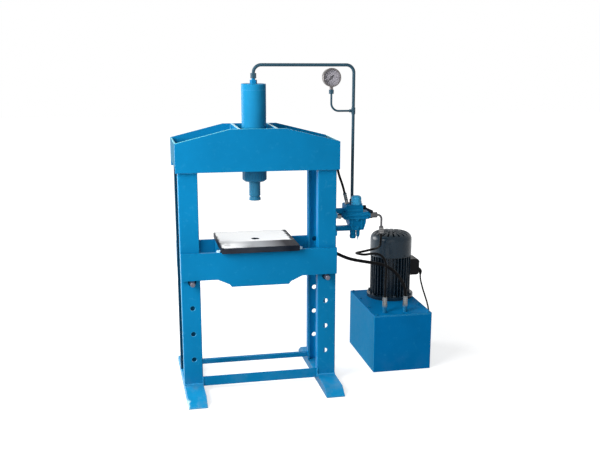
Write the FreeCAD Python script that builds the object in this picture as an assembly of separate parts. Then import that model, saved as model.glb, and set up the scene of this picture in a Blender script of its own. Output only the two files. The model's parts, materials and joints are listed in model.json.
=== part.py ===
"""Workshop hydraulic press with a power pack beside it.

Millimetres, +Z up.  The origin is on the floor, under the ram's axis.
+X runs towards the power pack, -Y is the operator's side.
"""

import FreeCAD, Part
import math
import os

V = FreeCAD.Vector
X_AXIS = V(1, 0, 0)
Y_AXIS = V(0, 1, 0)
Z_AXIS = V(0, 0, 1)

# ---------------------------------------------------------------- driving dimensions
# portal frame
clear_width = 516.0          # between the two uprights
upright_width = 82.0
frame_depth = 240.0          # over both channels of an upright
upright_flange = 38.0
channel_thickness = 8.0
foot_height = 36.0
foot_half_length = 313.0
foot_nose_length = 48.0
foot_nose_height = 6.0
foot_thickness = 6.0
tie_bar_height = 44.0
tie_bar_leg = 34.0
tie_bar_thickness = 5.0
tie_bar_base_z = 25.0
rear_tie_size = 21.0
rear_tie_z = 46.0

# crown
crown_width = 700.0
crown_plate_thickness = 18.0
crown_bottom_z = 974.0
crown_end_height = 121.0
crown_middle_height = 178.0
crown_flat_width = 240.0
crown_end_thickness = 8.0
crown_end_margin = 22.0
crown_rib_thickness = 12.0
crown_rib_offset = 80.0
base_plate_thickness = 30.0
base_plate_half_width = 112.0
post_top_margin = 34.0

# pin holes and bed
hole_diameter = 22.0
hole_inset = 36.0            # from the upright's inner face
first_hole_z = 151.0
hole_pitch = 117.0
hole_rows = 5
bed_row = 3
pin_diameter = 21.0
pin_length = 330.0
pin_chamfer = 2.0
seat_gap = 0.3
bed_half_length = 340.0
bed_plate_thickness = 18.0
bed_running_gap = 2.0
bed_height = 118.6
belly_depth = 35.0
belly_half_width = 125.0
belly_shoulder = 10.0
belly_slope_half_width = 185.0
belly_slope_drop = 23.0
bed_spacer_thickness = 14.0
bed_spacer_offset = 160.0
bolster_width = 336.0
bolster_depth = 334.0
bolster_thickness = 25.0
bolster_bore = 34.0
bolster_chamfer = 1.5
stop_head_across = 17.0
stop_head_height = 9.0

# cylinder and ram
barrel_diameter = 106.0
bore_diameter = 80.0
barrel_bottom_z = 964.0
barrel_top_z = 1330.0
cap_thickness = 24.0
nut_height = 50.0
nut_chamfer = 9.0
nut_spigot_height = 25.0
nut_rib_count = 24
nut_rib_depth = 2.0
rod_diameter = 50.0
rod_clearance = 0.05
ram_tip_z = 830.0
nose_height = 22.0
nose_diameter = 52.0
nose_groove_depth = 3.0
nose_groove_height = 4.0
piston_height = 42.0
piston_clearance = 0.1
piston_top_gap = 6.0
seal_height = 6.0
rod_seal_rise = 12.0
seal_depth = 4.0

# rigid pipes
pipe_diameter = 14.0
pipe_bend = 34.0
pipe_clearance = 0.2
pipe_rise = 78.0              # from the barrel's top to the pipe's level run
pipe_x = 443.0
pipe_y = 8.0
tee_z = 1211.0
gauge_pipe_diameter = 9.0
gauge_x = 343.0
gauge_z = 1355.0
gauge_pipe_bend = 34.0
retract_pipe_diameter = 12.0
retract_pipe_z = 1022.0
retract_elbow_out = 22.0      # from the crown's right end to the falling leg
retract_elbow_drop = 34.0
retract_nut_length = 18.0

# pressure gauge
gauge_diameter = 80.0
gauge_case_depth = 30.0
gauge_wall = 2.5
gauge_rim = 5.0
gauge_stem = 12.0
pointer_length = 26.0
pointer_tail = 12.0
pointer_reach_deg = 270.0

# valve
valve_x = 454.0
valve_front_y = -50.0
valve_back_y = 26.0
valve_shoulder_z = 768.0
valve_top_z = 800.0
valve_mid_z = 735.0
valve_bottom_z = 684.0
valve_axis_y = -12.0
spool_diameter = 16.0
spool_clearance = 0.05
dome_diameter = 46.0
dome_height = 40.0
dome_y = -27.0
arm_height = 22.0
upper_arm_z = 770.0
lower_arm_z = 690.0
lever_pivot_x = 489.0
lever_pivot_z = 786.0
lever_rod = 9.0
lever_reach = 54.0
strip_thickness = 6.0
stub_diameter = 26.0
stub_length = 42.0
spool_y = 8.0
spool_z0 = 702.0
spool_z1 = 788.0
spool_travel = 6.0
dome_ribs = 24
lever_pivot_y = -34.0
lever_shaft = 10.0
lever_side = 15.0
lever_drop = 9.0
relief_x = 468.0
relief_shank = 12.0
return_port_z = 745.0
return_hose_start_x = 366.0
retract_end_x = 404.0
retract_end_z = 846.0
retract_port_x = 414.0
elbow_x = 578.0
elbow_end_z = 658.0

# power pack
tank_x = 543.0
tank_y = -57.0
tank_width = 280.0
tank_depth = 446.0
tank_height = 276.0
tank_wall = 3.0
lid_thickness = 6.0
motor_from_side = 174.0        # motor's axis from the tank's left wall
motor_from_front = 332.0       # motor's axis from the tank's front wall
motor_flange_diameter = 230.0
motor_flange_height = 16.0
motor_core_diameter = 160.0
fin_tip_diameter = 198.4
fin_count = 36
fin_thickness = 3.0
motor_body_height = 206.0
rotor_diameter = 108.0
air_gap = 0.5
shaft_diameter = 24.0
bearing_diameter = 47.0
bearing_width = 14.0
cover_diameter = 204.0
cover_wall = 2.0
cover_height = 112.0
cover_crown = 34.0
cover_dome = 5.0
fan_diameter = 168.0
fan_blades = 8
fan_hub_diameter = 42.0
fan_hub_height = 26.0
box_width = 82.0
box_height = 80.0
box_reach = 57.0
box_z = 425.0
box_round = 14.0
gland_y = 270.0
gland_z = 405.0
gland_bend = 16.0
gland_end_z = 377.0
shaft_clearance = 0.05
inner_slots = 10
outer_slots = 20
union_top_z = 352.0
pump_size = 92.0
pump_height = 96.0

# hoses, cable
pressure_hose_diameter = 11.0
return_hose_diameter = 15.0
retract_hose_diameter = 11.0
cable_diameter = 8.0
ferrule_diameter = 20.0
floor_gap = 0.2
coil_turns_per_layer = 2
coil_mean_diameter = 94.0
coil_pitch = 9.7
coil_centre = (690.0, 470.0)
coil_lead = 10.0
coil_tail = 62.0
plug_diameter = 34.0

# ---------------------------------------------------------------- derived places
motor_x = tank_x + motor_from_side
motor_y = tank_y + motor_from_front
half_depth = frame_depth / 2
inner_x = clear_width / 2
outer_x = inner_x + upright_width
hole_x = inner_x + hole_inset
foot_top_z = foot_height
crown_half = crown_width / 2
retract_drop_x = crown_half + retract_elbow_out
crown_face_y = half_depth + crown_plate_thickness
bed_inner_y = half_depth + bed_running_gap
bed_face_y = bed_inner_y + bed_plate_thickness
pin_z = first_hole_z + bed_row * hole_pitch - (hole_diameter - pin_diameter) / 2 + seat_gap
bed_bottom_z = pin_z + pin_diameter / 2 + seat_gap
bed_top_z = bed_bottom_z + bed_height
bolster_top_z = bed_top_z + bolster_thickness
nut_bottom_z = barrel_bottom_z - nut_height
cap_inner_z = barrel_top_z - cap_thickness
pipe_top_z = barrel_top_z + pipe_rise
piston_top_z = cap_inner_z - piston_top_gap
piston_bottom_z = piston_top_z - piston_height
lid_top_z = tank_height
motor_base_z = lid_top_z
core_bottom_z = motor_base_z + motor_flange_height
core_top_z = core_bottom_z + motor_body_height
shaft_radius = shaft_diameter / 2
tank_fitting_y = -10.0
pressure_fitting_x = 605.0
return_fitting_x = 705.0
valve_spool_x = valve_x + 8.0
fan_z = core_top_z + 14
box_front_x = motor_x + motor_core_diameter / 2
coil_outer_radius = coil_mean_diameter / 2 + coil_turns_per_layer * coil_pitch / 2


# ---------------------------------------------------------------- helpers
def box(x0, x1, y0, y1, z0, z1):
    return Part.makeBox(x1 - x0, y1 - y0, z1 - z0, V(x0, y0, z0))


def rod(diameter, start, end):
    start, end = V(*start), V(*end)
    return Part.makeCylinder(diameter / 2, (end - start).Length, start, end - start)


def cone(d0, d1, start, end):
    start, end = V(*start), V(*end)
    return Part.makeCone(d0 / 2, d1 / 2, (end - start).Length, start, end - start)


def prism_y(outline, y0, y1):
    """Outline of (x, z) corners, pushed along Y."""
    face = Part.Face(Part.makePolygon([V(x, y0, z) for x, z in outline + outline[:1]]))
    return face.extrude(V(0, y1 - y0, 0))


def prism_x(outline, x0, x1):
    """Outline of (y, z) corners, pushed along X."""
    face = Part.Face(Part.makePolygon([V(x0, y, z) for y, z in outline + outline[:1]]))
    return face.extrude(V(x1 - x0, 0, 0))


def prism_z(outline, z0, z1):
    face = Part.Face(Part.makePolygon([V(x, y, z0) for x, y in outline + outline[:1]]))
    return face.extrude(V(0, 0, z1 - z0))


def turned(profile, x, y):
    """Profile of (radius, z) corners, turned about the vertical line at x, y."""
    wire = Part.makePolygon([V(x + r, y, z) for r, z in profile + profile[:1]])
    return Part.Face(wire).revolve(V(x, y, 0), Z_AXIS, 360)


def turned_y(profile, x, z):
    """Profile of (radius, y) corners, turned about the line along Y at x, z."""
    wire = Part.makePolygon([V(x + r, y, z) for r, y in profile + profile[:1]])
    return Part.Face(wire).revolve(V(x, 0, z), Y_AXIS, 360)


def hexagon(across_flats, start, end):
    """Hexagonal bar between two points."""
    start, end = V(*start), V(*end)
    radius = across_flats / math.sqrt(3)
    corners = [V(radius * math.cos(math.radians(60 * i)), radius * math.sin(math.radians(60 * i)), 0)
               for i in range(7)]
    bar = Part.Face(Part.makePolygon(corners)).extrude(V(0, 0, (end - start).Length))
    bar.Placement = FreeCAD.Placement(start, FreeCAD.Rotation(Z_AXIS, end - start))
    return bar


def mirrored(shape):
    return shape.mirror(V(0, 0, 0), X_AXIS)


def rounded(solid, radius, test):
    """Fillet the edges that pass the test."""
    edges = [e for e in solid.Edges if test(e)]
    return solid.makeFillet(radius, edges) if edges else solid


def upright_edge(edge):
    """True for a straight edge that runs along Z."""
    ends = [v.Point for v in edge.Vertexes]
    return len(ends) == 2 and abs(ends[0].x - ends[1].x) < 0.01 and abs(ends[0].y - ends[1].y) < 0.01


def bent_tube(points, diameter, radius=None):
    """Straight runs joined by tangent arcs; with no radius, each arc is as large as its runs allow."""
    corners = [V(*p) for p in points]
    edges = []
    radii = []
    last = corners[0]
    for i in range(1, len(corners) - 1):
        back = corners[i - 1] - corners[i]
        ahead = corners[i + 1] - corners[i]
        half_turn = (math.pi - back.getAngle(ahead)) / 2
        bend = radius or 0.45 * min(back.Length, ahead.Length) / math.tan(half_turn)
        setback = bend * math.tan(half_turn)
        back.normalize()
        ahead.normalize()
        begin = corners[i] + back * setback
        end = corners[i] + ahead * setback
        inward = back + ahead
        inward.normalize()
        middle = corners[i] + inward * (bend / math.cos(half_turn) - bend)
        edges.append(Part.LineSegment(last, begin).toShape())
        edges.append(Part.Arc(begin, middle, end).toShape())
        radii.append(bend)
        last = end
    edges.append(Part.LineSegment(last, corners[-1]).toShape())
    path = Part.Wire(edges)
    tangent = corners[1] - corners[0]
    ring = Part.Wire(Part.makeCircle(diameter / 2, corners[0], tangent))
    tube = path.makePipeShell([ring], True, False)
    return tube, path.Length, radii


def report_tube(name, tube, length, radii, diameter):
    section = math.pi * diameter ** 2 / 4
    print("%s: length %.0f, volume ratio %.3f, least bend %.0f (%.1f diameters)"
          % (name, length, tube.Volume / (section * length), min(radii), min(radii) / diameter))


# ---------------------------------------------------------------- portal frame
def upright_channel(side, face):
    """One rolled channel: its web faces out at face * half_depth, its flanges point inwards."""
    t = channel_thickness
    web_in = half_depth - t
    lip = half_depth - upright_flange
    outline = [(inner_x, half_depth), (outer_x, half_depth), (outer_x, lip), (outer_x - t, lip),
               (outer_x - t, web_in), (inner_x + t, web_in), (inner_x + t, lip), (inner_x, lip)]
    top_z = crown_bottom_z + crown_end_height - post_top_margin
    channel = prism_z([(side * x, face * y) for x, y in outline], foot_top_z, top_z)
    corner = [(side * x, face * half_depth) for x in (inner_x, outer_x)]
    root = [(side * x, face * web_in) for x in (inner_x + t, outer_x - t)]

    def at(places):
        def test(edge):
            p = edge.Vertexes[0].Point
            return upright_edge(edge) and any(abs(p.x - x) < 0.01 and abs(p.y - y) < 0.01 for x, y in places)
        return test

    channel = rounded(channel, 4.0, at(corner))
    channel = rounded(channel, 5.0, at(root))
    for row in range(hole_rows):
        z = first_hole_z + row * hole_pitch
        channel = channel.cut(rod(hole_diameter, (side * hole_x, face * (half_depth + 5), z),
                                  (side * hole_x, face * (web_in - 5), z)))
    return channel


def foot(side):
    """Channel lying web up, with a nose that slopes down at each end."""
    kink = foot_half_length - foot_nose_length
    t = foot_thickness
    outer = [(-foot_half_length, 0), (foot_half_length, 0), (foot_half_length, foot_nose_height),
             (kink, foot_height), (-kink, foot_height), (-foot_half_length, foot_nose_height)]
    inner = [(-foot_half_length - 1, -1), (foot_half_length + 1, -1),
             (foot_half_length + 1, foot_nose_height - t), (foot_half_length, foot_nose_height - t),
             (kink, foot_height - t), (-kink, foot_height - t),
             (-foot_half_length, foot_nose_height - t), (-foot_half_length - 1, foot_nose_height - t)]
    solid = prism_x(outer, inner_x, outer_x)
    hollow = prism_x(inner, inner_x + t, outer_x - t)
    solid = solid.cut(hollow)
    return solid if side > 0 else mirrored(solid)


def front_tie_bar():
    y = -half_depth
    z = tie_bar_base_z
    t = tie_bar_thickness
    outline = [(y, z), (y + tie_bar_leg, z), (y + tie_bar_leg, z + t), (y + t, z + t),
               (y + t, z + tie_bar_height), (y, z + tie_bar_height)]
    return prism_x(outline, -inner_x, inner_x)


def rear_tie_bar():
    y = half_depth - rear_tie_size
    bar = box(-inner_x, inner_x, y, half_depth, rear_tie_z, rear_tie_z + rear_tie_size)
    bore = rear_tie_size - 2 * 3
    middle = y + rear_tie_size / 2
    height = rear_tie_z + rear_tie_size / 2
    return bar.cut(box(-inner_x - 1, inner_x + 1, middle - bore / 2, middle + bore / 2,
                       height - bore / 2, height + bore / 2))


def crown_plate(face):
    end_z = crown_bottom_z + crown_end_height
    top_z = crown_bottom_z + crown_middle_height
    flat = crown_flat_width / 2
    outline = [(-crown_half, crown_bottom_z), (crown_half, crown_bottom_z), (crown_half, end_z),
               (flat, top_z), (-flat, top_z), (-crown_half, end_z)]
    y0, y1 = sorted((face * half_depth, face * crown_face_y))
    return prism_y(outline, y0, y1)


def crown_ends():
    """Closing plates between the crown's two side plates; the feed pipe leaves through the right one."""
    top_z = crown_bottom_z + crown_end_height
    right = box(crown_half - crown_end_thickness, crown_half, -half_depth, half_depth,
                crown_bottom_z + crown_end_margin, top_z)
    left = mirrored(right)
    right = right.cut(rod(retract_pipe_diameter + 1, (crown_half - 30, 0, retract_pipe_z),
                          (crown_half + 5, 0, retract_pipe_z)))
    return Part.makeCompound([left, right])


def crown_ribs():
    """Front-to-back plates each side of the barrel."""
    top_z = crown_bottom_z + crown_middle_height
    x0 = crown_rib_offset - crown_rib_thickness / 2
    right = box(x0, x0 + crown_rib_thickness, -half_depth, half_depth,
                crown_bottom_z + base_plate_thickness, top_z)
    left = mirrored(right)
    right = right.cut(rod(retract_pipe_diameter + 1, (x0 - 5, 0, retract_pipe_z),
                          (x0 + crown_rib_thickness + 5, 0, retract_pipe_z)))
    return Part.makeCompound([left, right])


def crown_base_plate():
    w = base_plate_half_width
    plate = box(-w, w, -half_depth, half_depth, crown_bottom_z, crown_bottom_z + base_plate_thickness)
    return plate.cut(rod(barrel_diameter, (0, 0, crown_bottom_z - 5),
                         (0, 0, crown_bottom_z + base_plate_thickness + 5)))


# ---------------------------------------------------------------- bed
def bed_plate(face):
    """Side plate of the bed, deeper in the middle, its ends resting on the pins."""
    z0 = bed_bottom_z
    half = [(bed_half_length, bed_top_z), (bed_half_length, z0), (belly_slope_half_width, z0),
            (belly_half_width + belly_shoulder, z0 - belly_slope_drop), (belly_half_width, z0 - belly_depth)]
    outline = half + [(-x, z) for x, z in reversed(half)]
    y0, y1 = sorted((face * bed_inner_y, face * bed_face_y))
    return prism_y(outline, y0, y1)


def bed_spacers():
    """Two cross plates that hold the bed's side plates apart, under the bolster plate."""
    x0 = bed_spacer_offset - bed_spacer_thickness / 2
    right = box(x0, x0 + bed_spacer_thickness, -bed_inner_y, bed_inner_y, bed_bottom_z, bed_top_z)
    return Part.makeCompound([mirrored(right), right])


def bolster_plate():
    w, d = bolster_width / 2, bolster_depth / 2
    plate = box(-w, w, -d, d, bed_top_z, bolster_top_z)
    top = [e for e in plate.Edges if all(abs(v.Point.z - bolster_top_z) < 0.01 for v in e.Vertexes)]
    plate = plate.makeChamfer(bolster_chamfer, top)
    return plate.cut(rod(bolster_bore, (0, 0, bed_top_z - 1), (0, 0, bolster_top_z + 1)))


def bed_stops():
    """Two bolt heads on the bed's front plate that keep the bolster plate from turning."""
    x = bolster_width / 2 + stop_head_across / math.sqrt(3) + seat_gap
    y = -(bed_inner_y + bed_plate_thickness / 2)
    heads = []
    for side in (-1, 1):
        top = (side * x, y, bed_top_z + stop_head_height)
        heads.append(hexagon(stop_head_across, (side * x, y, bed_top_z), top))
    return Part.makeCompound(heads)


def bed_pin(side):
    r = pin_diameter / 2
    c = pin_chamfer
    half = pin_length / 2
    profile = [(0, -half), (r - c, -half), (r, -half + c), (r, half - c), (r - c, half), (0, half)]
    return turned_y(profile, side * hole_x, pin_z)


# ---------------------------------------------------------------- cylinder and ram
def cylinder_barrel():
    r, bore = barrel_diameter / 2, bore_diameter / 2
    profile = [(bore, barrel_bottom_z), (r, barrel_bottom_z), (r, barrel_top_z - 2), (r - 2, barrel_top_z),
               (0, barrel_top_z), (0, cap_inner_z), (bore, cap_inner_z)]
    barrel = turned(profile, 0, 0)
    weld_z = barrel_top_z - cap_thickness
    groove = turned([(r - 1.2, weld_z - 1.5), (r + 1, weld_z - 2.5), (r + 1, weld_z + 0.5)], 0, 0)
    barrel = barrel.cut(groove)
    port = rod(retract_pipe_diameter, (bore - 5, 0, retract_pipe_z), (r + 5, 0, retract_pipe_z))
    feed = rod(10, (0, 0, cap_inner_z - 1), (0, 0, barrel_top_z + 1))
    return barrel.cut(port).cut(feed)


def gland_nut():
    """Ribbed gland that closes the barrel's lower end and guides the rod."""
    r = barrel_diameter / 2
    hole = rod_diameter / 2 + rod_clearance
    bore = bore_diameter / 2
    c = nut_chamfer
    profile = [(hole, nut_bottom_z), (r - c, nut_bottom_z), (r, nut_bottom_z + c * 0.8), (r, barrel_bottom_z),
               (bore, barrel_bottom_z), (bore, barrel_bottom_z + nut_spigot_height),
               (hole, barrel_bottom_z + nut_spigot_height)]
    nut = turned(profile, 0, 0)
    flute_x = r + 3 - nut_rib_depth
    flute = rod(6, (flute_x, 0, nut_bottom_z - 1), (flute_x, 0, barrel_bottom_z - 8))
    flutes = []
    for i in range(nut_rib_count):
        copy = flute.copy()
        copy.rotate(V(0, 0, 0), Z_AXIS, 360 * i / nut_rib_count)
        flutes.append(copy)
    return nut.cut(flutes).cut(rod_seal_seat())


def rod_seal_seat():
    """The groove's full disc, in the nut's lower part."""
    low_z = nut_bottom_z + rod_seal_rise
    return rod(rod_diameter + 2 * seal_depth, (0, 0, low_z), (0, 0, low_z + seal_height))


def rod_seal():
    outer = rod_seal_seat()
    hole = rod(rod_diameter + 2 * rod_clearance, (0, 0, nut_bottom_z), (0, 0, barrel_bottom_z))
    return outer.cut(hole)


def ram():
    return rod(rod_diameter, (0, 0, ram_tip_z + nose_height), (0, 0, piston_bottom_z))


def ram_nose():
    """Hardened pressing nose with a groove for a puller, screwed on the rod's end."""
    r, root = nose_diameter / 2, rod_diameter / 2
    z0 = ram_tip_z
    z1 = ram_tip_z + nose_height
    g = nose_groove_height
    profile = [(0, z0), (r - 1.5, z0), (r, z0 + 1.5), (r, z0 + 8), (root - 1, z1 - 2 - g - 3),
               (root - nose_groove_depth, z1 - 2 - g), (root - nose_groove_depth, z1 - 3), (root, z1 - 1),
               (root, z1), (0, z1)]
    return turned(profile, 0, 0)


def piston():
    r = bore_diameter / 2 - piston_clearance
    middle = (piston_top_z + piston_bottom_z) / 2
    profile = [(0, piston_bottom_z), (r, piston_bottom_z), (r, middle - seal_height),
               (r - seal_depth, middle - seal_height), (r - seal_depth, middle + seal_height),
               (r, middle + seal_height), (r, piston_top_z), (0, piston_top_z)]
    return turned(profile, 0, 0)


def piston_seal():
    r = bore_diameter / 2 - piston_clearance
    middle = (piston_top_z + piston_bottom_z) / 2
    return turned([(r - seal_depth, middle - seal_height), (r, middle - seal_height),
                   (r, middle + seal_height), (r - seal_depth, middle + seal_height)], 0, 0)


def cap_fitting():
    """Adaptor in the barrel's cap: a hexagon on the cap and a smaller one above it."""
    low = hexagon(27, (0, 0, barrel_top_z), (0, 0, barrel_top_z + 16))
    neck = rod(16, (0, 0, barrel_top_z + 16), (0, 0, barrel_top_z + 22))
    return low.fuse(neck)


# ---------------------------------------------------------------- rigid pipes and gauge
nut_base_z = barrel_top_z + 22
nut_length = 22.0
valve_nut_z = valve_top_z
gauge_nut_z = gauge_z - 70.0
gauge_nut_length = 18.0


def pipe_nut(across, x, y, z, height, hole):
    nut = hexagon(across, (x, y, z), (x, y, z + height))
    return nut.cut(rod(hole, (x, y, z - 1), (x, y, z + height + 1)))


def pipe_nuts():
    """Union nuts at the pipe's ends and under the gauge."""
    return Part.makeCompound([
        pipe_nut(22, 0, 0, nut_base_z, nut_length, pipe_diameter + pipe_clearance),
        pipe_nut(20, pipe_x, pipe_y, valve_nut_z, 18, pipe_diameter + pipe_clearance),
        hexagon(19, (gauge_x, pipe_y, gauge_nut_z), (gauge_x, pipe_y, gauge_nut_z + gauge_nut_length))])


def pressure_pipe():
    """Feed pipe from the valve over the crown to the barrel's cap, with its brazed tee."""
    points = [(0, 0, nut_base_z), (0, 0, pipe_top_z),
              (pipe_x, pipe_y, pipe_top_z), (pipe_x, pipe_y, valve_nut_z)]
    tube, length, radii = bent_tube(points, pipe_diameter, pipe_bend)
    tee = rod(pipe_diameter + 4, (pipe_x, pipe_y, tee_z - 14), (pipe_x, pipe_y, tee_z + 14))
    branch = rod(pipe_diameter, (pipe_x, pipe_y, tee_z), (pipe_x - 18, pipe_y, tee_z))
    return tube.fuse([tee, branch])


def gauge_pipe():
    points = [(pipe_x - 18, pipe_y, tee_z), (gauge_x, pipe_y, tee_z), (gauge_x, pipe_y, gauge_nut_z)]
    tube, length, radii = bent_tube(points, gauge_pipe_diameter, gauge_pipe_bend)
    return tube


def gauge_parts():
    """Dial gauge that faces the operator: case with stem, dial, pointer and glass."""
    r = gauge_diameter / 2
    y0 = pipe_y - gauge_case_depth / 2
    y1 = pipe_y + gauge_case_depth / 2
    w = gauge_wall
    dial_y = y1 - 14
    profile = [(0, y1), (r - 3, y1), (r, y1 - 3), (r, y0 + 4), (r - 1, y0), (r - gauge_rim, y0),
               (r - gauge_rim, y0 + 3), (r - w, y0 + 3), (r - w, dial_y + 2), (0, dial_y + 2)]
    case = turned_y(profile, gauge_x, gauge_z)
    stem_foot = (gauge_x, pipe_y, gauge_nut_z + gauge_nut_length)
    stem = rod(gauge_stem, stem_foot, (gauge_x, pipe_y, gauge_z - r + 4))
    collar = hexagon(14, (gauge_x, pipe_y, gauge_z - r - 12), (gauge_x, pipe_y, gauge_z - r + 3))
    bowl = turned_y([(0, y0 - 1), (r - w, y0 - 1), (r - w, dial_y + 2), (0, dial_y + 2)], gauge_x, gauge_z)
    case = case.fuse(stem.fuse(collar).cut(bowl))
    dial = rod(2 * (r - w), (gauge_x, dial_y + 2, gauge_z), (gauge_x, dial_y, gauge_z))
    dial = dial.fuse(rod(3, (gauge_x, dial_y, gauge_z), (gauge_x, dial_y - 5, gauge_z)))
    glass = rod(2 * (r - w), (gauge_x, y0 + 3, gauge_z), (gauge_x, y0 + 5, gauge_z))
    pointer_y = dial_y - 3
    hub = rod(9, (gauge_x, pointer_y, gauge_z), (gauge_x, pointer_y + 1.6, gauge_z))
    blade = prism_y([(-1.6, 0), (-0.5, pointer_length), (0.5, pointer_length), (1.6, 0),
                     (2.2, -pointer_tail), (-2.2, -pointer_tail)], pointer_y, pointer_y + 1)
    blade.translate(V(gauge_x, 0, gauge_z))
    pointer = hub.fuse(blade)
    pointer = pointer.cut(rod(3.1, (gauge_x, pointer_y - 3, gauge_z), (gauge_x, pointer_y + 5, gauge_z)))
    pointer.rotate(V(gauge_x, 0, gauge_z), Y_AXIS, 360 - pointer_reach_deg / 2)
    return {"gauge_case": case, "gauge_dial": dial, "gauge_glass": glass, "gauge_pointer": pointer}


def retract_pipe():
    """Return-stroke pipe inside the crown, with the elbow that turns down outside its right end."""
    end_x = crown_half + retract_elbow_out
    end_z = retract_pipe_z - retract_elbow_drop
    points = [(barrel_diameter / 2, 0, retract_pipe_z), (end_x, 0, retract_pipe_z), (end_x, 0, end_z + 8)]
    tube, length, radii = bent_tube(points, retract_pipe_diameter, 12)
    collar = hexagon(19, (crown_half, 0, retract_pipe_z), (crown_half + 7, 0, retract_pipe_z))
    nut = hexagon(17, (end_x, 0, end_z + retract_nut_length), (end_x, 0, end_z))
    return tube.fuse([collar, nut])


# ---------------------------------------------------------------- valve
def valve_bracket():
    """Two arms that stand off the right upright; each has a cross strip over both its channels."""
    solids = []
    for z, reach in ((upper_arm_z, valve_x - 50), (lower_arm_z, valve_x - 22)):
        z0, z1 = z - arm_height / 2, z + arm_height / 2
        strip = box(outer_x, outer_x + strip_thickness, -half_depth + 4, half_depth - 4, z0, z1)
        arm = box(outer_x + strip_thickness, reach, valve_axis_y - arm_height / 2,
                  valve_axis_y + arm_height / 2, z0, z1)
        solids.append(strip.fuse(arm).cut(valve_block()))
    return Part.makeCompound(solids)


def valve_block():
    """Outer form of the cast valve block: stepped shoulders over a tapered lower end."""
    y0, y1 = valve_front_y, valve_back_y
    x = valve_x
    shoulder = prism_y([(x - 52, valve_shoulder_z), (x + 26, valve_shoulder_z), (x + 26, valve_top_z - 4),
                        (x + 22, valve_top_z), (x - 48, valve_top_z), (x - 52, valve_top_z - 4)], y0, y1)
    middle = prism_y([(x - 58, valve_mid_z), (x + 54, valve_mid_z), (x + 62, valve_mid_z + 8),
                      (x + 62, valve_shoulder_z - 5), (x + 57, valve_shoulder_z), (x - 60, valve_shoulder_z),
                      (x - 66, valve_shoulder_z - 6), (x - 66, valve_mid_z + 8)], y0, y1)
    lower = prism_y([(x - 38, valve_mid_z), (x + 44, valve_mid_z), (x + 42, valve_mid_z - 20),
                     (x + 32, valve_bottom_z), (x - 22, valve_bottom_z),
                     (x - 34, valve_mid_z - 20)], y0 + 8, y1)
    stub_root = (x - 10, valve_axis_y, valve_bottom_z)
    stub = rod(stub_diameter, stub_root, (x - 10, valve_axis_y, valve_bottom_z - stub_length))
    return shoulder.fuse([middle, lower, stub])


def valve_body():
    """The block with its spool bore, the lever shaft's bore and the relief screw's bore."""
    spool_bore = rod(spool_diameter + 2 * spool_clearance, (valve_spool_x, spool_y, spool_z0 - spool_travel),
                     (valve_spool_x, spool_y, spool_z1 + spool_travel))
    shaft_bore = rod(lever_shaft + 2 * spool_clearance, (lever_pivot_x - 26, lever_pivot_y, lever_pivot_z),
                     (lever_pivot_x + 5, lever_pivot_y, lever_pivot_z))
    screw_bore = rod(relief_shank + 2 * spool_clearance, (relief_x, valve_axis_y, valve_bottom_z - 1),
                     (relief_x, valve_axis_y, valve_bottom_z + 26))
    return valve_block().cut([spool_bore, shaft_bore, screw_bore])


def valve_cap():
    """Domed spring cap on the block, with a ribbed collar."""
    r = dome_diameter / 2
    z0, z1 = valve_top_z, valve_top_z + dome_height
    shoulder = 13.0
    a = V(valve_x + r, dome_y, z1 - shoulder)
    b = V(valve_x + r - shoulder, dome_y, z1)
    middle = V(valve_x + r - shoulder * (1 - math.sqrt(0.5)), dome_y, z1 - shoulder * (1 - math.sqrt(0.5)))
    foot_in, foot_out = V(valve_x, dome_y, z0), V(valve_x + r, dome_y, z0)
    top = V(valve_x, dome_y, z1)
    wire = Part.Wire([Part.LineSegment(foot_in, foot_out).toShape(), Part.LineSegment(foot_out, a).toShape(),
                      Part.Arc(a, middle, b).toShape(), Part.LineSegment(b, top).toShape(),
                      Part.LineSegment(top, foot_in).toShape()])
    cap = Part.Face(wire).revolve(V(valve_x, dome_y, 0), Z_AXIS, 360)
    collar = rod(dome_diameter + 3, (valve_x, dome_y, z0 + 4), (valve_x, dome_y, z0 + 13))
    flutes = []
    for i in range(dome_ribs):
        angle = 2 * math.pi * i / dome_ribs
        x = valve_x + (r + 2.4) * math.cos(angle)
        y = dome_y + (r + 2.4) * math.sin(angle)
        flutes.append(rod(3, (x, y, z0), (x, y, z0 + 14)))
    return cap.fuse(collar.cut(flutes))


def valve_spool():
    r = spool_diameter / 2
    lands = [(0, spool_z0), (r, spool_z0), (r, spool_z0 + 14), (r - 3, spool_z0 + 16), (r - 3, spool_z0 + 26),
             (r, spool_z0 + 28), (r, spool_z0 + 40), (r - 3, spool_z0 + 42), (r - 3, spool_z1 - 16),
             (r, spool_z1 - 14), (r, spool_z1), (0, spool_z1)]
    return turned(lands, valve_spool_x, spool_y)


def valve_lever():
    """Short hand lever: shaft into the block, hub, rod and a tapered grip that points at the operator."""
    x0, y0, z0 = lever_pivot_x, lever_pivot_y, lever_pivot_z
    shaft = rod(lever_shaft, (x0 - 24, y0, z0), (x0 + 1, y0, z0))
    hub = rod(20, (valve_x + 26 + seat_gap, y0, z0), (x0 + 7, y0, z0))
    way = V(lever_side, -lever_reach, -lever_drop)
    way.normalize()
    start = V(x0 + 1, y0, z0)
    knuckle = start + way * (lever_reach * 0.55)
    tip = start + way * lever_reach * 1.15
    bar = rod(lever_rod, start, knuckle)
    grip = cone(lever_rod + 2, lever_rod + 7, knuckle, tip)
    knob = Part.makeSphere((lever_rod + 7) / 2, tip)
    return shaft.fuse([hub, bar, grip, knob])


def relief_screw():
    """Adjusting screw under the block: shank, knurled head and pointed end."""
    z = valve_bottom_z - seat_gap
    s = relief_shank / 2
    profile = [(0, z + 24), (s, z + 24), (s, z), (11, z), (11, z - 7), (8.5, z - 8), (8.5, z - 26),
               (6.5, z - 34), (3.5, z - 36), (1.0, z - 52), (0, z - 52)]
    return turned(profile, relief_x, valve_axis_y)


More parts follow.
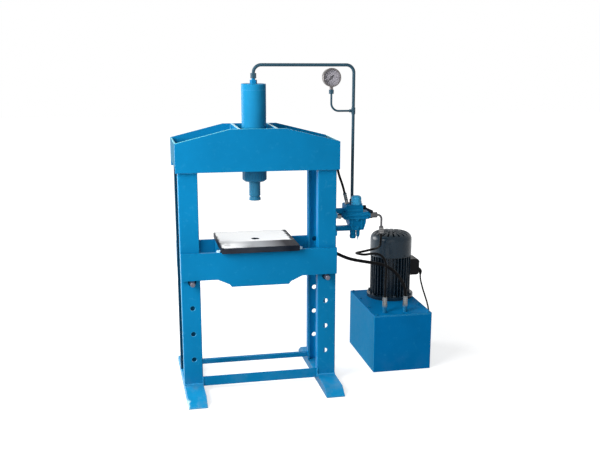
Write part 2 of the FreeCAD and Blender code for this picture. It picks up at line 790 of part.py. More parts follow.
def valve_unions():
    """Hose unions on the block: the tank return on its left side, the return-stroke hose on its top."""
    x = valve_x - 66
    sleeve_start = (x - 11, valve_axis_y, return_port_z)
    left = hexagon(22, (x, valve_axis_y, return_port_z), sleeve_start)
    sleeve = rod(ferrule_diameter, sleeve_start, (return_hose_start_x, valve_axis_y, return_port_z))
    port = (retract_port_x, valve_axis_y, valve_top_z)
    top = hexagon(17, port, (retract_port_x, valve_axis_y, valve_top_z + 8))
    ferrule_foot = (retract_port_x, valve_axis_y, valve_top_z + 6)
    ferrule = rod(15, ferrule_foot, (retract_end_x, valve_axis_y, retract_end_z))
    return Part.makeCompound([left.fuse(sleeve), top.fuse(ferrule)])


def pressure_elbow():
    """Steel elbow on the block's right port, with its two hexagons and the hose ferrule."""
    x0 = valve_x + 62
    z = return_port_z
    y = valve_axis_y
    points = [(x0 + 40, y, z), (elbow_x, y, z), (elbow_x, y, elbow_end_z + 34)]
    tube, length, radii = bent_tube(points, 10, 20)
    low = hexagon(26, (x0, y, z), (x0 + 18, y, z))
    nut = hexagon(22, (x0 + 18, y, z), (x0 + 40, y, z))
    ferrule = rod(ferrule_diameter, (elbow_x, y, elbow_end_z + 34), (elbow_x, y, elbow_end_z))
    return low.fuse([nut, tube, ferrule])


# ---------------------------------------------------------------- power pack
def tank_shell():
    x1, y1 = tank_x + tank_width, tank_y + tank_depth
    t = tank_wall
    rim_z = tank_height - lid_thickness
    shell = rounded(box(tank_x, x1, tank_y, y1, 0, rim_z), 3.0, upright_edge)
    return shell.cut(box(tank_x + t, x1 - t, tank_y + t, y1 - t, t, rim_z + 1))


def tank_lid():
    x1, y1 = tank_x + tank_width, tank_y + tank_depth
    lid = rounded(box(tank_x, x1, tank_y, y1, tank_height - lid_thickness, tank_height), 3.0, upright_edge)
    return lid.cut(rod(shaft_diameter + 8, (motor_x, motor_y, 0), (motor_x, motor_y, tank_height + 1)))


def gear_pump():
    """Gear pump hung under the lid, with its suction tube."""
    z1 = tank_height - lid_thickness
    z0 = z1 - pump_height
    h = pump_size / 2
    body = rounded(box(motor_x - h, motor_x + h, motor_y - h, motor_y + h, z0, z1), 8.0, upright_edge)
    suction = rod(22, (motor_x - 25, motor_y - 20, z0), (motor_x - 25, motor_y - 20, 30))
    socket_diameter = shaft_diameter + 2 * shaft_clearance
    socket = rod(socket_diameter, (motor_x, motor_y, z1 - 50), (motor_x, motor_y, z1 + 1))
    return body.fuse(suction).cut(socket)


def terminal_box_space():
    half = box_width / 2
    return box(motor_x + motor_core_diameter / 2 - 22, box_front_x + box_reach,
               motor_y - half, motor_y + half, box_z - box_height / 2, box_z + box_height / 2)


def motor_housing():
    """Flange-mounted motor body: turned core with cooling fins, open inside for the rotor."""
    core = motor_core_diameter / 2
    flange = motor_flange_diameter / 2
    hole = shaft_radius + 2
    seat = bearing_diameter / 2
    cavity = rotor_diameter / 2 + air_gap
    low_z = core_bottom_z
    profile = [(hole, motor_base_z), (flange, motor_base_z), (flange, low_z), (core, low_z),
               (core, core_top_z - 12), (fin_tip_diameter / 2 + 0.5, core_top_z - 12),
               (fin_tip_diameter / 2 + 0.5, core_top_z),
               (seat, core_top_z), (seat, core_top_z - bearing_width), (hole, core_top_z - bearing_width),
               (hole, core_top_z - bearing_width - 5), (cavity, core_top_z - bearing_width - 5),
               (cavity, low_z + bearing_width + 5), (hole, low_z + bearing_width + 5),
               (hole, low_z + bearing_width), (seat, low_z + bearing_width), (seat, low_z), (hole, low_z)]
    housing = turned(profile, motor_x, motor_y)
    reach = fin_tip_diameter / 2
    fin = box(core - 1, reach, -fin_thickness / 2, fin_thickness / 2, low_z, core_top_z - 12)
    fins = []
    for i in range(fin_count):
        copy = fin.copy()
        copy.rotate(V(0, 0, 0), Z_AXIS, 360 * (i + 0.5) / fin_count)
        copy.translate(V(motor_x, motor_y, 0))
        fins.append(copy)
    return housing.fuse(fins).cut(terminal_box_space())


def motor_bearings():
    bore = shaft_diameter + 2 * shaft_clearance
    rings = []
    for z in (core_bottom_z, core_top_z - bearing_width):
        ring = rod(bearing_diameter, (motor_x, motor_y, z), (motor_x, motor_y, z + bearing_width))
        hole_top = (motor_x, motor_y, z + bearing_width + 1)
        rings.append(ring.cut(rod(bore, (motor_x, motor_y, z - 1), hole_top)))
    return Part.makeCompound(rings)


def motor_rotor():
    z0 = core_bottom_z + bearing_width + 7
    z1 = core_top_z - bearing_width - 7
    r, s = rotor_diameter / 2, shaft_radius
    profile = [(0, tank_height - lid_thickness - 44), (s, tank_height - lid_thickness - 44), (s, z0), (r, z0),
               (r, z1), (s, z1), (s, fan_z + fan_hub_height), (0, fan_z + fan_hub_height)]
    return turned(profile, motor_x, motor_y)


def motor_fan():
    """Cooling fan on the shaft's upper end, under the cover's slots."""
    hub = rod(fan_hub_diameter, (motor_x, motor_y, fan_z), (motor_x, motor_y, fan_z + fan_hub_height))
    disc = rod(fan_diameter, (motor_x, motor_y, fan_z), (motor_x, motor_y, fan_z + 3))
    blade = box(fan_hub_diameter / 2 - 1, fan_diameter / 2, -1.5, 1.5, fan_z + 3, fan_z + fan_hub_height + 4)
    fan = hub.fuse(disc)
    blades = []
    for i in range(fan_blades):
        copy = blade.copy()
        copy.rotate(V(0, 0, 0), Z_AXIS, 360 * i / fan_blades)
        copy.translate(V(motor_x, motor_y, 0))
        blades.append(copy)
    hole_top = (motor_x, motor_y, fan_z + fan_hub_height + 1)
    shaft_hole = rod(shaft_diameter, (motor_x, motor_y, fan_z - 1), hole_top)
    return fan.fuse(blades).cut(shaft_hole)


def fan_cover():
    """Pressed cowl with a rounded shoulder and two rings of radial air slots."""
    r, w, c = cover_diameter / 2, cover_wall, cover_crown
    z0 = core_top_z - 10
    z1 = z0 + cover_height

    def skin(radius, top, bend):
        a, b = V(motor_x + radius, motor_y, top - bend), V(motor_x + radius - bend, motor_y, top)
        k = bend * (1 - math.sqrt(0.5))
        middle = V(motor_x + radius - k, motor_y, top - k)
        corners = [V(motor_x, motor_y, z0), V(motor_x + radius, motor_y, z0)]
        crown = V(motor_x, motor_y, top + cover_dome)
        wire = Part.Wire([Part.LineSegment(*corners).toShape(), Part.LineSegment(corners[1], a).toShape(),
                          Part.Arc(a, middle, b).toShape(), Part.LineSegment(b, crown).toShape(),
                          Part.LineSegment(crown, corners[0]).toShape()])
        return Part.Face(wire).revolve(V(motor_x, motor_y, 0), Z_AXIS, 360)

    cover = skin(r, z1, c).cut(skin(r - w, z1 - w, c - w))
    slots = []
    for count, start, end, width in ((inner_slots, 18, 44, 7), (outer_slots, 52, 90, 8)):
        slot = box(start, end, -width / 2, width / 2, z1 - 13, z1 + 8)
        for i in range(count):
            copy = slot.copy()
            copy.rotate(V(0, 0, 0), Z_AXIS, 360 * (i + 0.5) / count)
            copy.translate(V(motor_x, motor_y, 0))
            slots.append(copy)
    return cover.cut(slots)


def terminal_box():
    """Connection box on the motor's right side, saddled to the core, with its cable gland."""
    half = box_width / 2
    z0, z1 = box_z - box_height / 2, box_z + box_height / 2
    x = box_front_x + box_reach
    solid = box(motor_x + motor_core_diameter / 2 - 22, x, motor_y - half, motor_y + half, z0, z1)

    def outer_edge(edge):
        return all(abs(v.Point.x - x) < 0.01 for v in edge.Vertexes) and not upright_edge(edge)

    solid = rounded(solid, box_round, outer_edge)
    core = rod(motor_core_diameter, (motor_x, motor_y, z0 - 1), (motor_x, motor_y, z1 + 1))
    gland = hexagon(20, (x - 8, gland_y, gland_z), (x + 4, gland_y, gland_z))
    ring = Part.Wire(Part.makeCircle(8, V(x + 4, gland_y, gland_z), X_AXIS))
    hub = V(x + 4, gland_y, gland_z - gland_bend)
    elbow = Part.Face(ring).revolve(hub, Y_AXIS, 90)
    sleeve = cone(16, cable_diameter + 3, (x + 4 + gland_bend, gland_y, gland_z - gland_bend),
                  (x + 4 + gland_bend, gland_y, gland_end_z))
    return solid.fuse([gland, elbow, sleeve]).cut(core)


def tank_unions():
    """Two alike hose unions on the lid: socket, nut and ferrule."""
    unions = []
    for x in (pressure_fitting_x, return_fitting_x):
        y = tank_fitting_y
        socket = rod(18, (x, y, tank_height), (x, y, tank_height + 24))
        nut = hexagon(22, (x, y, tank_height + 24), (x, y, tank_height + 40))
        ferrule = rod(ferrule_diameter, (x, y, tank_height + 40), (x, y, union_top_z))
        unions.append(socket.fuse([nut, ferrule]))
    return Part.makeCompound(unions)


# ---------------------------------------------------------------- hoses and cable
def hose(name, points, diameter):
    tube, length, radii = bent_tube(points, diameter)
    report_tube(name, tube, length, radii, diameter)
    return tube


def biarc(p0, t0, p1, t1):
    """Two arcs that leave p0 along t0 and reach p1 along t1."""
    v = p1 - p0
    t = t0 + t1
    k = 2 * (1 - t0.dot(t1))
    d = (-v.dot(t) + math.sqrt(v.dot(t) ** 2 + k * v.dot(v))) / k
    q0, q1 = p0 + t0 * d, p1 - t1 * d
    joint = (q0 + q1) * 0.5
    way = q1 - q0
    way.normalize()
    return [arc_from(p0, t0, joint), arc_from(joint, way, p1)]


def arc_from(start, tangent, end):
    """Arc from start to end that leaves along tangent."""
    chord = end - start
    across = chord - tangent * chord.dot(tangent)
    radius = chord.dot(chord) / (2 * across.Length)
    across.normalize()
    centre = start + across * radius
    to_middle = (start + end) * 0.5 - centre
    to_middle.normalize()
    return Part.Arc(start, centre + to_middle * radius, end).toShape()


def coil_line():
    """Centre line of the stored cable: two layers, the lower one winding in, the upper one out."""
    cx, cy = coil_centre
    half_turns = 2 * coil_turns_per_layer
    step = coil_pitch / 2
    outer = coil_outer_radius
    low_z = cable_diameter / 2 + floor_gap
    stations = []
    for i in range(half_turns + 1):
        stations.append((outer - i * step, low_z))
    for i in range(1, half_turns + 2):
        stations.append((outer - half_turns * step + (i - 1) * step, low_z + coil_pitch))
    stations[-1] = (stations[-1][0], plug_diameter / 2)
    points = []
    for i, (radius, z) in enumerate(stations):
        side = 1 if i % 2 == 0 else -1
        points.append((V(cx, cy + side * radius, z), V(-side, 0, 0)))
    edges = [Part.LineSegment(points[0][0] + V(coil_lead, 0, 0), points[0][0]).toShape()]
    for (p0, t0), (p1, t1) in zip(points, points[1:]):
        edges += biarc(p0, t0, p1, t1)
    last, way = points[-1]
    edges.append(Part.LineSegment(last, last + way * coil_tail).toShape())
    return edges, last + way * coil_tail, way


def cable_coil():
    edges, end, way = coil_line()
    path = Part.Wire(edges)
    start = edges[0].Vertexes[0].Point
    ring = Part.Wire(Part.makeCircle(cable_diameter / 2, start, edges[0].Vertexes[1].Point - start))
    tube = path.makePipeShell([ring], True, False)
    samples = []
    for edge in edges:
        step = (edge.LastParameter - edge.FirstParameter) / 12
        samples += [edge.valueAt(edge.FirstParameter + step * k) for k in range(12)]
    least = min((a - b).Length for i, a in enumerate(samples) for b in samples[i + 12:])
    section = math.pi * cable_diameter ** 2 / 4
    print("cable_coil: length %.0f, volume ratio %.3f, least gap to itself %.2f"
          % (path.Length, tube.Volume / (section * path.Length), least - cable_diameter))
    return tube


def plug():
    """Round mains plug with two pins, lying on the floor at the cable's end."""
    edges, end, way = coil_line()
    r = plug_diameter / 2
    x, y, z = end.x, end.y, end.z
    profile = [(0, 0), (cable_diameter / 2 + 2, 0), (cable_diameter / 2 + 4, 22), (r - 6, 30), (r, 44),
               (r, 66), (r - 2, 68), (0, 68)]
    wire = Part.makePolygon([V(way.x * a, 0, r0) for r0, a in profile + profile[:1]])
    solid = Part.Face(wire).revolve(V(0, 0, 0), X_AXIS, 360)
    pins = [rod(4.8, (way.x * 60, side * 9.5, 0), (way.x * 86, side * 9.5, 0)) for side in (-1, 1)]
    solid = solid.fuse(pins)
    solid.translate(V(x, y, z))
    return solid


# routes of the free hoses and of the cable, chosen by hand from the valve, tank and motor outwards
PRESSURE_ROUTE = [
    (elbow_x, valve_axis_y, elbow_end_z), (elbow_x, valve_axis_y, 636), (577, -3, 614), (579, 15, 597),
    (581, 56, 583), (554, 88, 569), (509, 90, 562), (474, 63, 563), (469, 18, 567), (495, -21, 566),
    (538, -38, 574), (580, -36, 558), (600, -30, 520), (604, -24, 472), (604, -15, 420),
    (pressure_fitting_x, tank_fitting_y, 376), (pressure_fitting_x, tank_fitting_y, union_top_z)]
RETURN_ROUTE = [
    (return_hose_start_x, valve_axis_y, return_port_z), (337, valve_axis_y, return_port_z), (309, -18, 737),
    (287, -29, 719), (276, -42, 693), (276, -54, 663), (288, -61, 635), (309, -62, 612), (335, -58, 596),
    (363, -51, 581), (391, -43, 566), (421, -35, 552), (455, -26, 541), (497, -15, 530), (541, -5, 519),
    (587, 4, 508), (632, 8, 487), (668, 6, 454), (693, -3, 414), (return_fitting_x, tank_fitting_y, 377),
    (return_fitting_x, tank_fitting_y, union_top_z)]
RETRACT_ROUTE = [
    (retract_drop_x, 0, retract_pipe_z - retract_elbow_drop), (retract_drop_x, 0, 966),
    (375.5, -1.2, 943), (383, -4.5, 917), (391, -9, 894), (397.75, valve_axis_y, 871),
    (retract_end_x, valve_axis_y, retract_end_z)]
CABLE_ROUTE = [
    (box_front_x + box_reach + 4 + gland_bend, gland_y, gland_end_z), (874, 270, 357), (877, 262, 335),
    (880, 243, 307), (883, 214, 278), (887, 185, 246), (889, 163, 206), (884, 148, 158), (875, 150, 104),
    (864, 165, 54), (856, 200, 20), (849, 248, 6), (846, 302, 4.2), (845, 357, 4.2), (836, 412, 4.2),
    (812, 463, 4.2), (774, 504, 4.2), (729, coil_centre[1] + coil_outer_radius, 4.2),
    (coil_centre[0] + coil_lead, coil_centre[1] + coil_outer_radius, 4.2)]
HOSES = [("pressure_hose", PRESSURE_ROUTE, pressure_hose_diameter),
         ("return_hose", RETURN_ROUTE, return_hose_diameter),
         ("retract_hose", RETRACT_ROUTE, retract_hose_diameter),
         ("power_cable", CABLE_ROUTE, cable_diameter)]


def build():
    nodes = {}
    for side, side_name in ((-1, "left"), (1, "right")):
        for face, face_name in ((-1, "front"), (1, "rear")):
            nodes["%s_%s_upright" % (side_name, face_name)] = upright_channel(side, face)
        nodes["%s_foot" % side_name] = foot(side)
        nodes["%s_bed_pin" % side_name] = bed_pin(side)
    for face, face_name in ((-1, "front"), (1, "rear")):
        nodes["crown_%s_plate" % face_name] = crown_plate(face)
        nodes["bed_%s_plate" % face_name] = bed_plate(face)
    for make in (front_tie_bar, rear_tie_bar, crown_ends, crown_ribs, crown_base_plate, bed_spacers,
                 bolster_plate, bed_stops, cylinder_barrel, gland_nut, rod_seal, ram, ram_nose, piston,
                 piston_seal, cap_fitting, pipe_nuts, pressure_pipe, gauge_pipe, retract_pipe,
                 valve_bracket, valve_body, valve_cap, valve_spool, valve_lever, relief_screw,
                 valve_unions, pressure_elbow, tank_shell, tank_lid, gear_pump, motor_housing,
                 motor_bearings, motor_rotor, motor_fan, fan_cover, terminal_box, tank_unions,
                 cable_coil, plug):
        nodes[make.__name__] = make()
    nodes.update(gauge_parts())
    for name, points, diameter in HOSES:
        nodes[name] = hose(name, points, diameter)
    return nodes


os.makedirs("parts", exist_ok=True)
for name, shape in build().items():
    shape.exportStep("parts/%s.step" % name)
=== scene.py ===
"""Looks of a workshop hydraulic press with its power pack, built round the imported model.

Metres, +Z up.  +X runs towards the power pack, -Y is the operator's side.
"""

import json
import math
import random

import bmesh
import bpy
from mathutils import Matrix, Vector


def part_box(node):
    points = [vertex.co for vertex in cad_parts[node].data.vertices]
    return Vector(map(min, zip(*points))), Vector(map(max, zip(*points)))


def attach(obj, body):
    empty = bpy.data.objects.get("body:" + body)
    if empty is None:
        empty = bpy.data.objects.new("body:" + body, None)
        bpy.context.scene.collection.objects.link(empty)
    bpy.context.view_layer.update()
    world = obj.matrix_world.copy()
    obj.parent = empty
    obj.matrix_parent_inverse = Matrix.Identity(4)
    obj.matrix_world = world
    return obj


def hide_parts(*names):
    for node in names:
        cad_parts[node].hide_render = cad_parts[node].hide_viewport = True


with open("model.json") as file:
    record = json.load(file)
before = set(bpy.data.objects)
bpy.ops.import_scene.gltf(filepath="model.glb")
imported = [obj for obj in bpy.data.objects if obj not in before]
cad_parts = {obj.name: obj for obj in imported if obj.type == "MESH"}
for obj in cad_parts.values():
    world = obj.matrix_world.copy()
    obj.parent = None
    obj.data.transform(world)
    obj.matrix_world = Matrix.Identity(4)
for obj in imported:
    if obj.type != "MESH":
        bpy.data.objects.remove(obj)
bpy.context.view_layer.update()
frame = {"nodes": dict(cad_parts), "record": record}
NODES = frame["nodes"]
rng = random.Random(7)

UP = (0, 0, 1)
RIGHT = (1, 0, 0)
LEFT = (-1, 0, 0)
FRONT = (0, -1, 0)
BACK = (0, 1, 0)


def add_object(name, data):
    obj = bpy.data.objects.new(name, data)
    bpy.context.scene.collection.objects.link(obj)
    return obj


# ---------------------------------------------------------------- camera
CAMERA_PLACE = (-0.581586, -3.83536, 1.520178)
CAMERA_YAW, CAMERA_PITCH, CAMERA_ROLL = (math.radians(a) for a in (13.5422, 14.5853, -0.5190))
LENS_MM = 53.487
SENSOR_MM = 36.0
LENS_SHIFT = (-0.05, 0.075)
CLIP = (0.05, 60)


def place_camera():
    """Stands before the press and to its left, and looks down on it from above the crown."""
    data = bpy.data.cameras.new("camera")
    data.lens = LENS_MM
    data.sensor_width = SENSOR_MM
    data.sensor_fit = "HORIZONTAL"
    data.shift_x, data.shift_y = LENS_SHIFT
    data.clip_start, data.clip_end = CLIP
    camera = add_object("camera", data)
    sin_yaw, cos_yaw = math.sin(CAMERA_YAW), math.cos(CAMERA_YAW)
    sin_roll, cos_roll = math.sin(CAMERA_ROLL), math.cos(CAMERA_ROLL)
    level = math.cos(CAMERA_PITCH)
    forward = Vector((sin_yaw * level, cos_yaw * level, -math.sin(CAMERA_PITCH)))
    right = Vector((cos_yaw, -sin_yaw, 0))
    down = forward.cross(right)
    side = right * cos_roll + down * sin_roll
    low = down * cos_roll - right * sin_roll
    turn = Matrix((side, -low, -forward)).transposed()
    camera.matrix_world = Matrix.Translation(CAMERA_PLACE) @ turn.to_4x4()
    bpy.context.scene.camera = camera


# ---------------------------------------------------------------- shader helpers
MIX_FACTOR, MIX_A, MIX_B, MIX_RESULT = 0, 6, 7, 2      # the mix node's sockets for colours
EDGE_STARTS, EDGE_FULL = 0.985, 0.80    # how alike the rounded and the true normal are at an edge


def new_material(name):
    mat = bpy.data.materials.new(name)
    mat.use_nodes = True
    return mat, mat.node_tree, mat.node_tree.nodes["Principled BSDF"]


def node(tree, kind, values=None, **fields):
    made = tree.nodes.new(kind)
    for key, value in fields.items():
        setattr(made, key, value)
    for key, value in (values or {}).items():
        made.inputs[key].default_value = value
    return made


def feed(tree, value, socket):
    """Feeds a socket from another node, or sets it to a number or a colour."""
    if isinstance(value, bpy.types.NodeSocket):
        tree.links.new(value, socket)
    elif isinstance(value, tuple):
        socket.default_value = (*value[:3], 1)
    else:
        socket.default_value = value


def place(tree, scale=(1, 1, 1)):
    """Object coordinates, which are the press's own metres on every piece."""
    coords = node(tree, "ShaderNodeTexCoord")
    mapping = node(tree, "ShaderNodeMapping", {"Scale": scale})
    tree.links.new(coords.outputs["Object"], mapping.inputs["Vector"])
    return mapping.outputs["Vector"]


def axes(tree, where):
    """The three coordinates of a place, each by itself."""
    split = node(tree, "ShaderNodeSeparateXYZ")
    tree.links.new(where, split.inputs["Vector"])
    return split.outputs["X"], split.outputs["Y"], split.outputs["Z"]


def noise(tree, where, scale, detail=3.0, rough=0.5):
    made = node(tree, "ShaderNodeTexNoise", {"Scale": scale, "Detail": detail, "Roughness": rough})
    tree.links.new(where, made.inputs["Vector"])
    return made.outputs["Fac"]


def span(tree, value, low, high, to_low=0.0, to_high=1.0):
    """Maps one range of a value to another and holds it at both ends."""
    limits = {"From Min": low, "From Max": high, "To Min": to_low, "To Max": to_high}
    made = node(tree, "ShaderNodeMapRange", limits, clamp=True)
    tree.links.new(value, made.inputs["Value"])
    return made.outputs["Result"]


def mix(tree, factor, a, b):
    """Mix of two colours; each of the three is a value or a socket."""
    made = node(tree, "ShaderNodeMix", data_type="RGBA")
    for value, index in ((factor, MIX_FACTOR), (a, MIX_A), (b, MIX_B)):
        feed(tree, value, made.inputs[index])
    return made.outputs[MIX_RESULT]


def maths(tree, operation, a, b):
    made = node(tree, "ShaderNodeMath", operation=operation)
    feed(tree, a, made.inputs[0])
    feed(tree, b, made.inputs[1])
    return made.outputs[0]


def product(tree, a, b):
    return maths(tree, "MULTIPLY", a, b)


def greater(tree, a, b):
    return maths(tree, "MAXIMUM", a, b)


def bump(tree, shader, height, strength, distance):
    made = node(tree, "ShaderNodeBump", {"Strength": strength, "Distance": distance})
    tree.links.new(height, made.inputs["Height"])
    tree.links.new(made.outputs["Normal"], shader.inputs["Normal"])


def facing(tree, way, low, high):
    """White where the surface looks along a direction of the press itself."""
    geometry = node(tree, "ShaderNodeNewGeometry")
    dot = node(tree, "ShaderNodeVectorMath", {1: way}, operation="DOT_PRODUCT")
    tree.links.new(geometry.outputs["Normal"], dot.inputs[0])
    return span(tree, dot.outputs["Value"], low, high)


def edge_mask(tree, radius):
    """White where the surface turns within the radius, at an edge: it places rubbed paint, painted edge
    highlights and darker edges.
    """
    bevel = node(tree, "ShaderNodeBevel", {"Radius": radius}, samples=4)
    geometry = node(tree, "ShaderNodeNewGeometry")
    dot = node(tree, "ShaderNodeVectorMath", operation="DOT_PRODUCT")
    tree.links.new(bevel.outputs["Normal"], dot.inputs[0])
    tree.links.new(geometry.outputs["Normal"], dot.inputs[1])
    return span(tree, dot.outputs["Value"], EDGE_STARTS, EDGE_FULL)


def shade(colour, factor):
    return tuple(min(1, c * factor) for c in colour)


def finish(tree, shader, tone, rough, gloss=None, metal=None):
    """Gives the shader its colour, roughness, gloss and metalness, each a value or a socket."""
    fields = {"Base Color": tone, "Roughness": rough, "Specular IOR Level": gloss, "Metallic": metal}
    for field, value in fields.items():
        if value is not None:
            feed(tree, value, shader.inputs[field])


# ---------------------------------------------------------------- enamel
# edge tone: rubbed paint that is also a painted highlight along the edges
EDGE_PALE = (0.06, 0.40, 0.66)
DUST = (0.20, 0.22, 0.22)
DUST_HEIGHT = 0.10
PRIMER = (0.50, 0.80, 0.80)
BARE_STRETCH = 2.6              # a bare corner is this much taller and longer than it is wide
BARE_OUTER, BARE_INNER = 0.034, 0.014


def dusted(tree, tone, where, amount):
    """Patchy dust on what stands near the floor."""
    near_floor = span(tree, axes(tree, where)[2], DUST_HEIGHT, 0.0)
    patches = span(tree, noise(tree, where, 14.0, 5.0, 0.7), 0.46, 0.66, 0, amount)
    return mix(tree, product(tree, near_floor, patches), tone, DUST)


# Rubbed paint on edges, which is also a painted edge highlight, and a painted edge shade where the edge tone
# is darker.
def edges_worn_and_painted_light(tree, tone, where, edge, edge_wear_and_light, pale):
    patches = span(tree, noise(tree, where, 30.0, 5.0, 0.7), 0.30, 0.60, 0.25, 1.0)
    worn_and_lit_edges = product(tree, edge_mask(tree, edge), product(tree, patches, edge_wear_and_light))
    return mix(tree, worn_and_lit_edges, tone, pale)


def sides_painted_light(tree, tone, side):
    """Painted light and shade: another tone on the faces that look left and right."""
    both = greater(tree, facing(tree, RIGHT, 0.6, 0.9), facing(tree, LEFT, 0.6, 0.9))
    return mix(tree, both, tone, side)


def deep_fronts_painted_light(tree, tone, where, inside):
    """Painted light and shade: another tone on the front faces that lie deeper than the fourth value."""
    deep = inside[3]
    beyond = span(tree, axes(tree, where)[1], deep, deep + 0.01)
    return mix(tree, product(tree, facing(tree, FRONT, 0.8, 0.95), beyond), tone, inside)


def corner_bared(tree, tone, fine, corner):
    """A ragged patch round a corner where the paint is knocked off."""
    squeezed = (corner[0] * BARE_STRETCH, corner[1], corner[2])
    away = node(tree, "ShaderNodeVectorMath", {1: squeezed}, operation="DISTANCE")
    tree.links.new(place(tree, (BARE_STRETCH, 1, 1)), away.inputs[0])
    ragged = maths(tree, "ADD", away.outputs["Value"], span(tree, fine, 0.3, 0.7, -0.012, 0.012))
    return mix(tree, span(tree, ragged, BARE_OUTER, BARE_INNER), tone, PRIMER)


def enamel(name, colour, rough=0.36, edge_wear_and_light=0.5, grime=0.15, gloss=0.02, edge=0.0018, pale=EDGE_PALE,
           top_painted_light=None, side=None, inside=None, bare=None, dull=None):
    """Sprayed gloss enamel: faint uneven tone, soft orange peel, pale edges of rubbed paint that are also a
    painted highlight (a painted shade where the edge tone is darker), dust low down.

    the tone for faces that look up and left is a painted highlight, a painted shade where it is darker; side
    and inside are painted light and shade on faces that look left and right and on the front faces past a
    depth;
    bare is a knocked corner, dull the gloss of level faces.
    """
    mat, tree, shader = new_material(name)
    where = place(tree)
    broad = noise(tree, where, 3.5, 4.0, 0.6)
    fine = noise(tree, where, 45.0, 3.0, 0.6)
    peel = noise(tree, where, 320.0, 2.0, 0.5)
    tone = mix(tree, span(tree, broad, 0.32, 0.68), shade(colour, 0.90), shade(colour, 1.08))
    tone = mix(tree, span(tree, fine, 0.60, 0.76, 0, 0.10), tone, pale)
    if grime:
        tone = dusted(tree, tone, where, grime)
    # rubbed edges, also a painted edge highlight (a painted shade where the edge tone is darker)
    if edge_wear_and_light:
        tone = edges_worn_and_painted_light(tree, tone, where, edge, edge_wear_and_light, pale)
    # painted highlight on faces that look up and to the left; a darker tone here paints shade
    if top_painted_light:
        tone = mix(tree, facing(tree, (-0.35, 0.0, 0.94), 0.80, 0.97), tone, top_painted_light)
    # painted light and shade on faces that look left and right
    if side:
        tone = sides_painted_light(tree, tone, side)
    # painted light and shade on the front faces that lie deep
    if inside:
        tone = deep_fronts_painted_light(tree, tone, where, inside)
    if bare:
        tone = corner_bared(tree, tone, fine, bare)
    level = gloss
    if dull is not None:
        level = span(tree, facing(tree, UP, 0.85, 0.98), 0.0, 1.0, gloss, dull)
    finish(tree, shader, tone, span(tree, fine, 0.3, 0.7, rough - 0.05, rough + 0.08), level)
    bump(tree, shader, peel, 0.06, 0.0004)
    return mat


# ---------------------------------------------------------------- metals, plastics, glass
RUST = (0.20, 0.13, 0.08)


def bright_metal(name, colour, rough, stretch=(1, 1, 1), streak=0.25, stain=0.0):
    """Bare steel or aluminium with fine streaks and, with a stain, a few rusty spots."""
    mat, tree, shader = new_material(name)
    where = place(tree)
    lines = noise(tree, place(tree, stretch), 220.0, 3.0, 0.6)
    broad = noise(tree, where, 22.0, 5.0, 0.65)
    tone = mix(tree, span(tree, lines, 0.35, 0.65), shade(colour, 1 - streak), colour)
    tone = mix(tree, span(tree, broad, 0.45, 0.75, 0, 0.35), tone, shade(colour, 0.72))
    if stain:
        spots = span(tree, noise(tree, where, 70.0, 4.0, 0.7), 0.60, 0.72, 0, stain)
        tone = mix(tree, spots, tone, RUST)
    finish(tree, shader, tone, span(tree, lines, 0.3, 0.7, rough - 0.06, rough + 0.08), metal=1.0)
    bump(tree, shader, lines, 0.12, 0.0003)
    return mat


GROUND_DARK, GROUND_LIGHT = (0.74, 0.75, 0.75), (0.84, 0.84, 0.83)
# grey and dark of the painted reflection on the bolster's near edge
REFLECTION_GREY, REFLECTION_DARK = (0.27, 0.28, 0.30), (0.022, 0.021, 0.026)
BLOT = (0.06, 0.06, 0.065)
SPOT = (0.34, 0.30, 0.27)
RIM_DARK = (0.020, 0.023, 0.028)
EDGE_DARK = (0.10, 0.11, 0.12)
SCALE_DARK, SCALE_LIGHT = (0.008, 0.011, 0.018), (0.022, 0.026, 0.036)


def near_edge_painted_reflection(tree, x, y, broad):
    """Painted reflection on the bolster's near edge: how grey it is, but for its left end, and how dark
    towards the right.
    """
    ragged = maths(tree, "SUBTRACT", span(tree, broad, 0.3, 0.7, -0.004, 0.004), y)
    strip = span(tree, ragged, 0.046, 0.056)
    grey = product(tree, strip, span(tree, x, -0.110, -0.030))
    dark = product(tree, strip, span(tree, x, 0.0, 0.110))
    return grey, dark


def dark_rim(tree, x, y, where):
    """The bolster's dark rim: wide on the right, thin on the left and along the far edge."""
    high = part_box("bolster_plate")[1]
    ragged = span(tree, noise(tree, where, 60.0, 4.0, 0.7), 0.35, 0.65, -0.006, 0.006)
    across = maths(tree, "ADD", x, ragged)
    right = span(tree, across, high.x - 0.022, high.x - 0.014)
    left = span(tree, across, 0.008 - high.x, 0.002 - high.x)
    far = span(tree, y, high.y - 0.010, high.y - 0.003)
    return greater(tree, greater(tree, right, left), far)


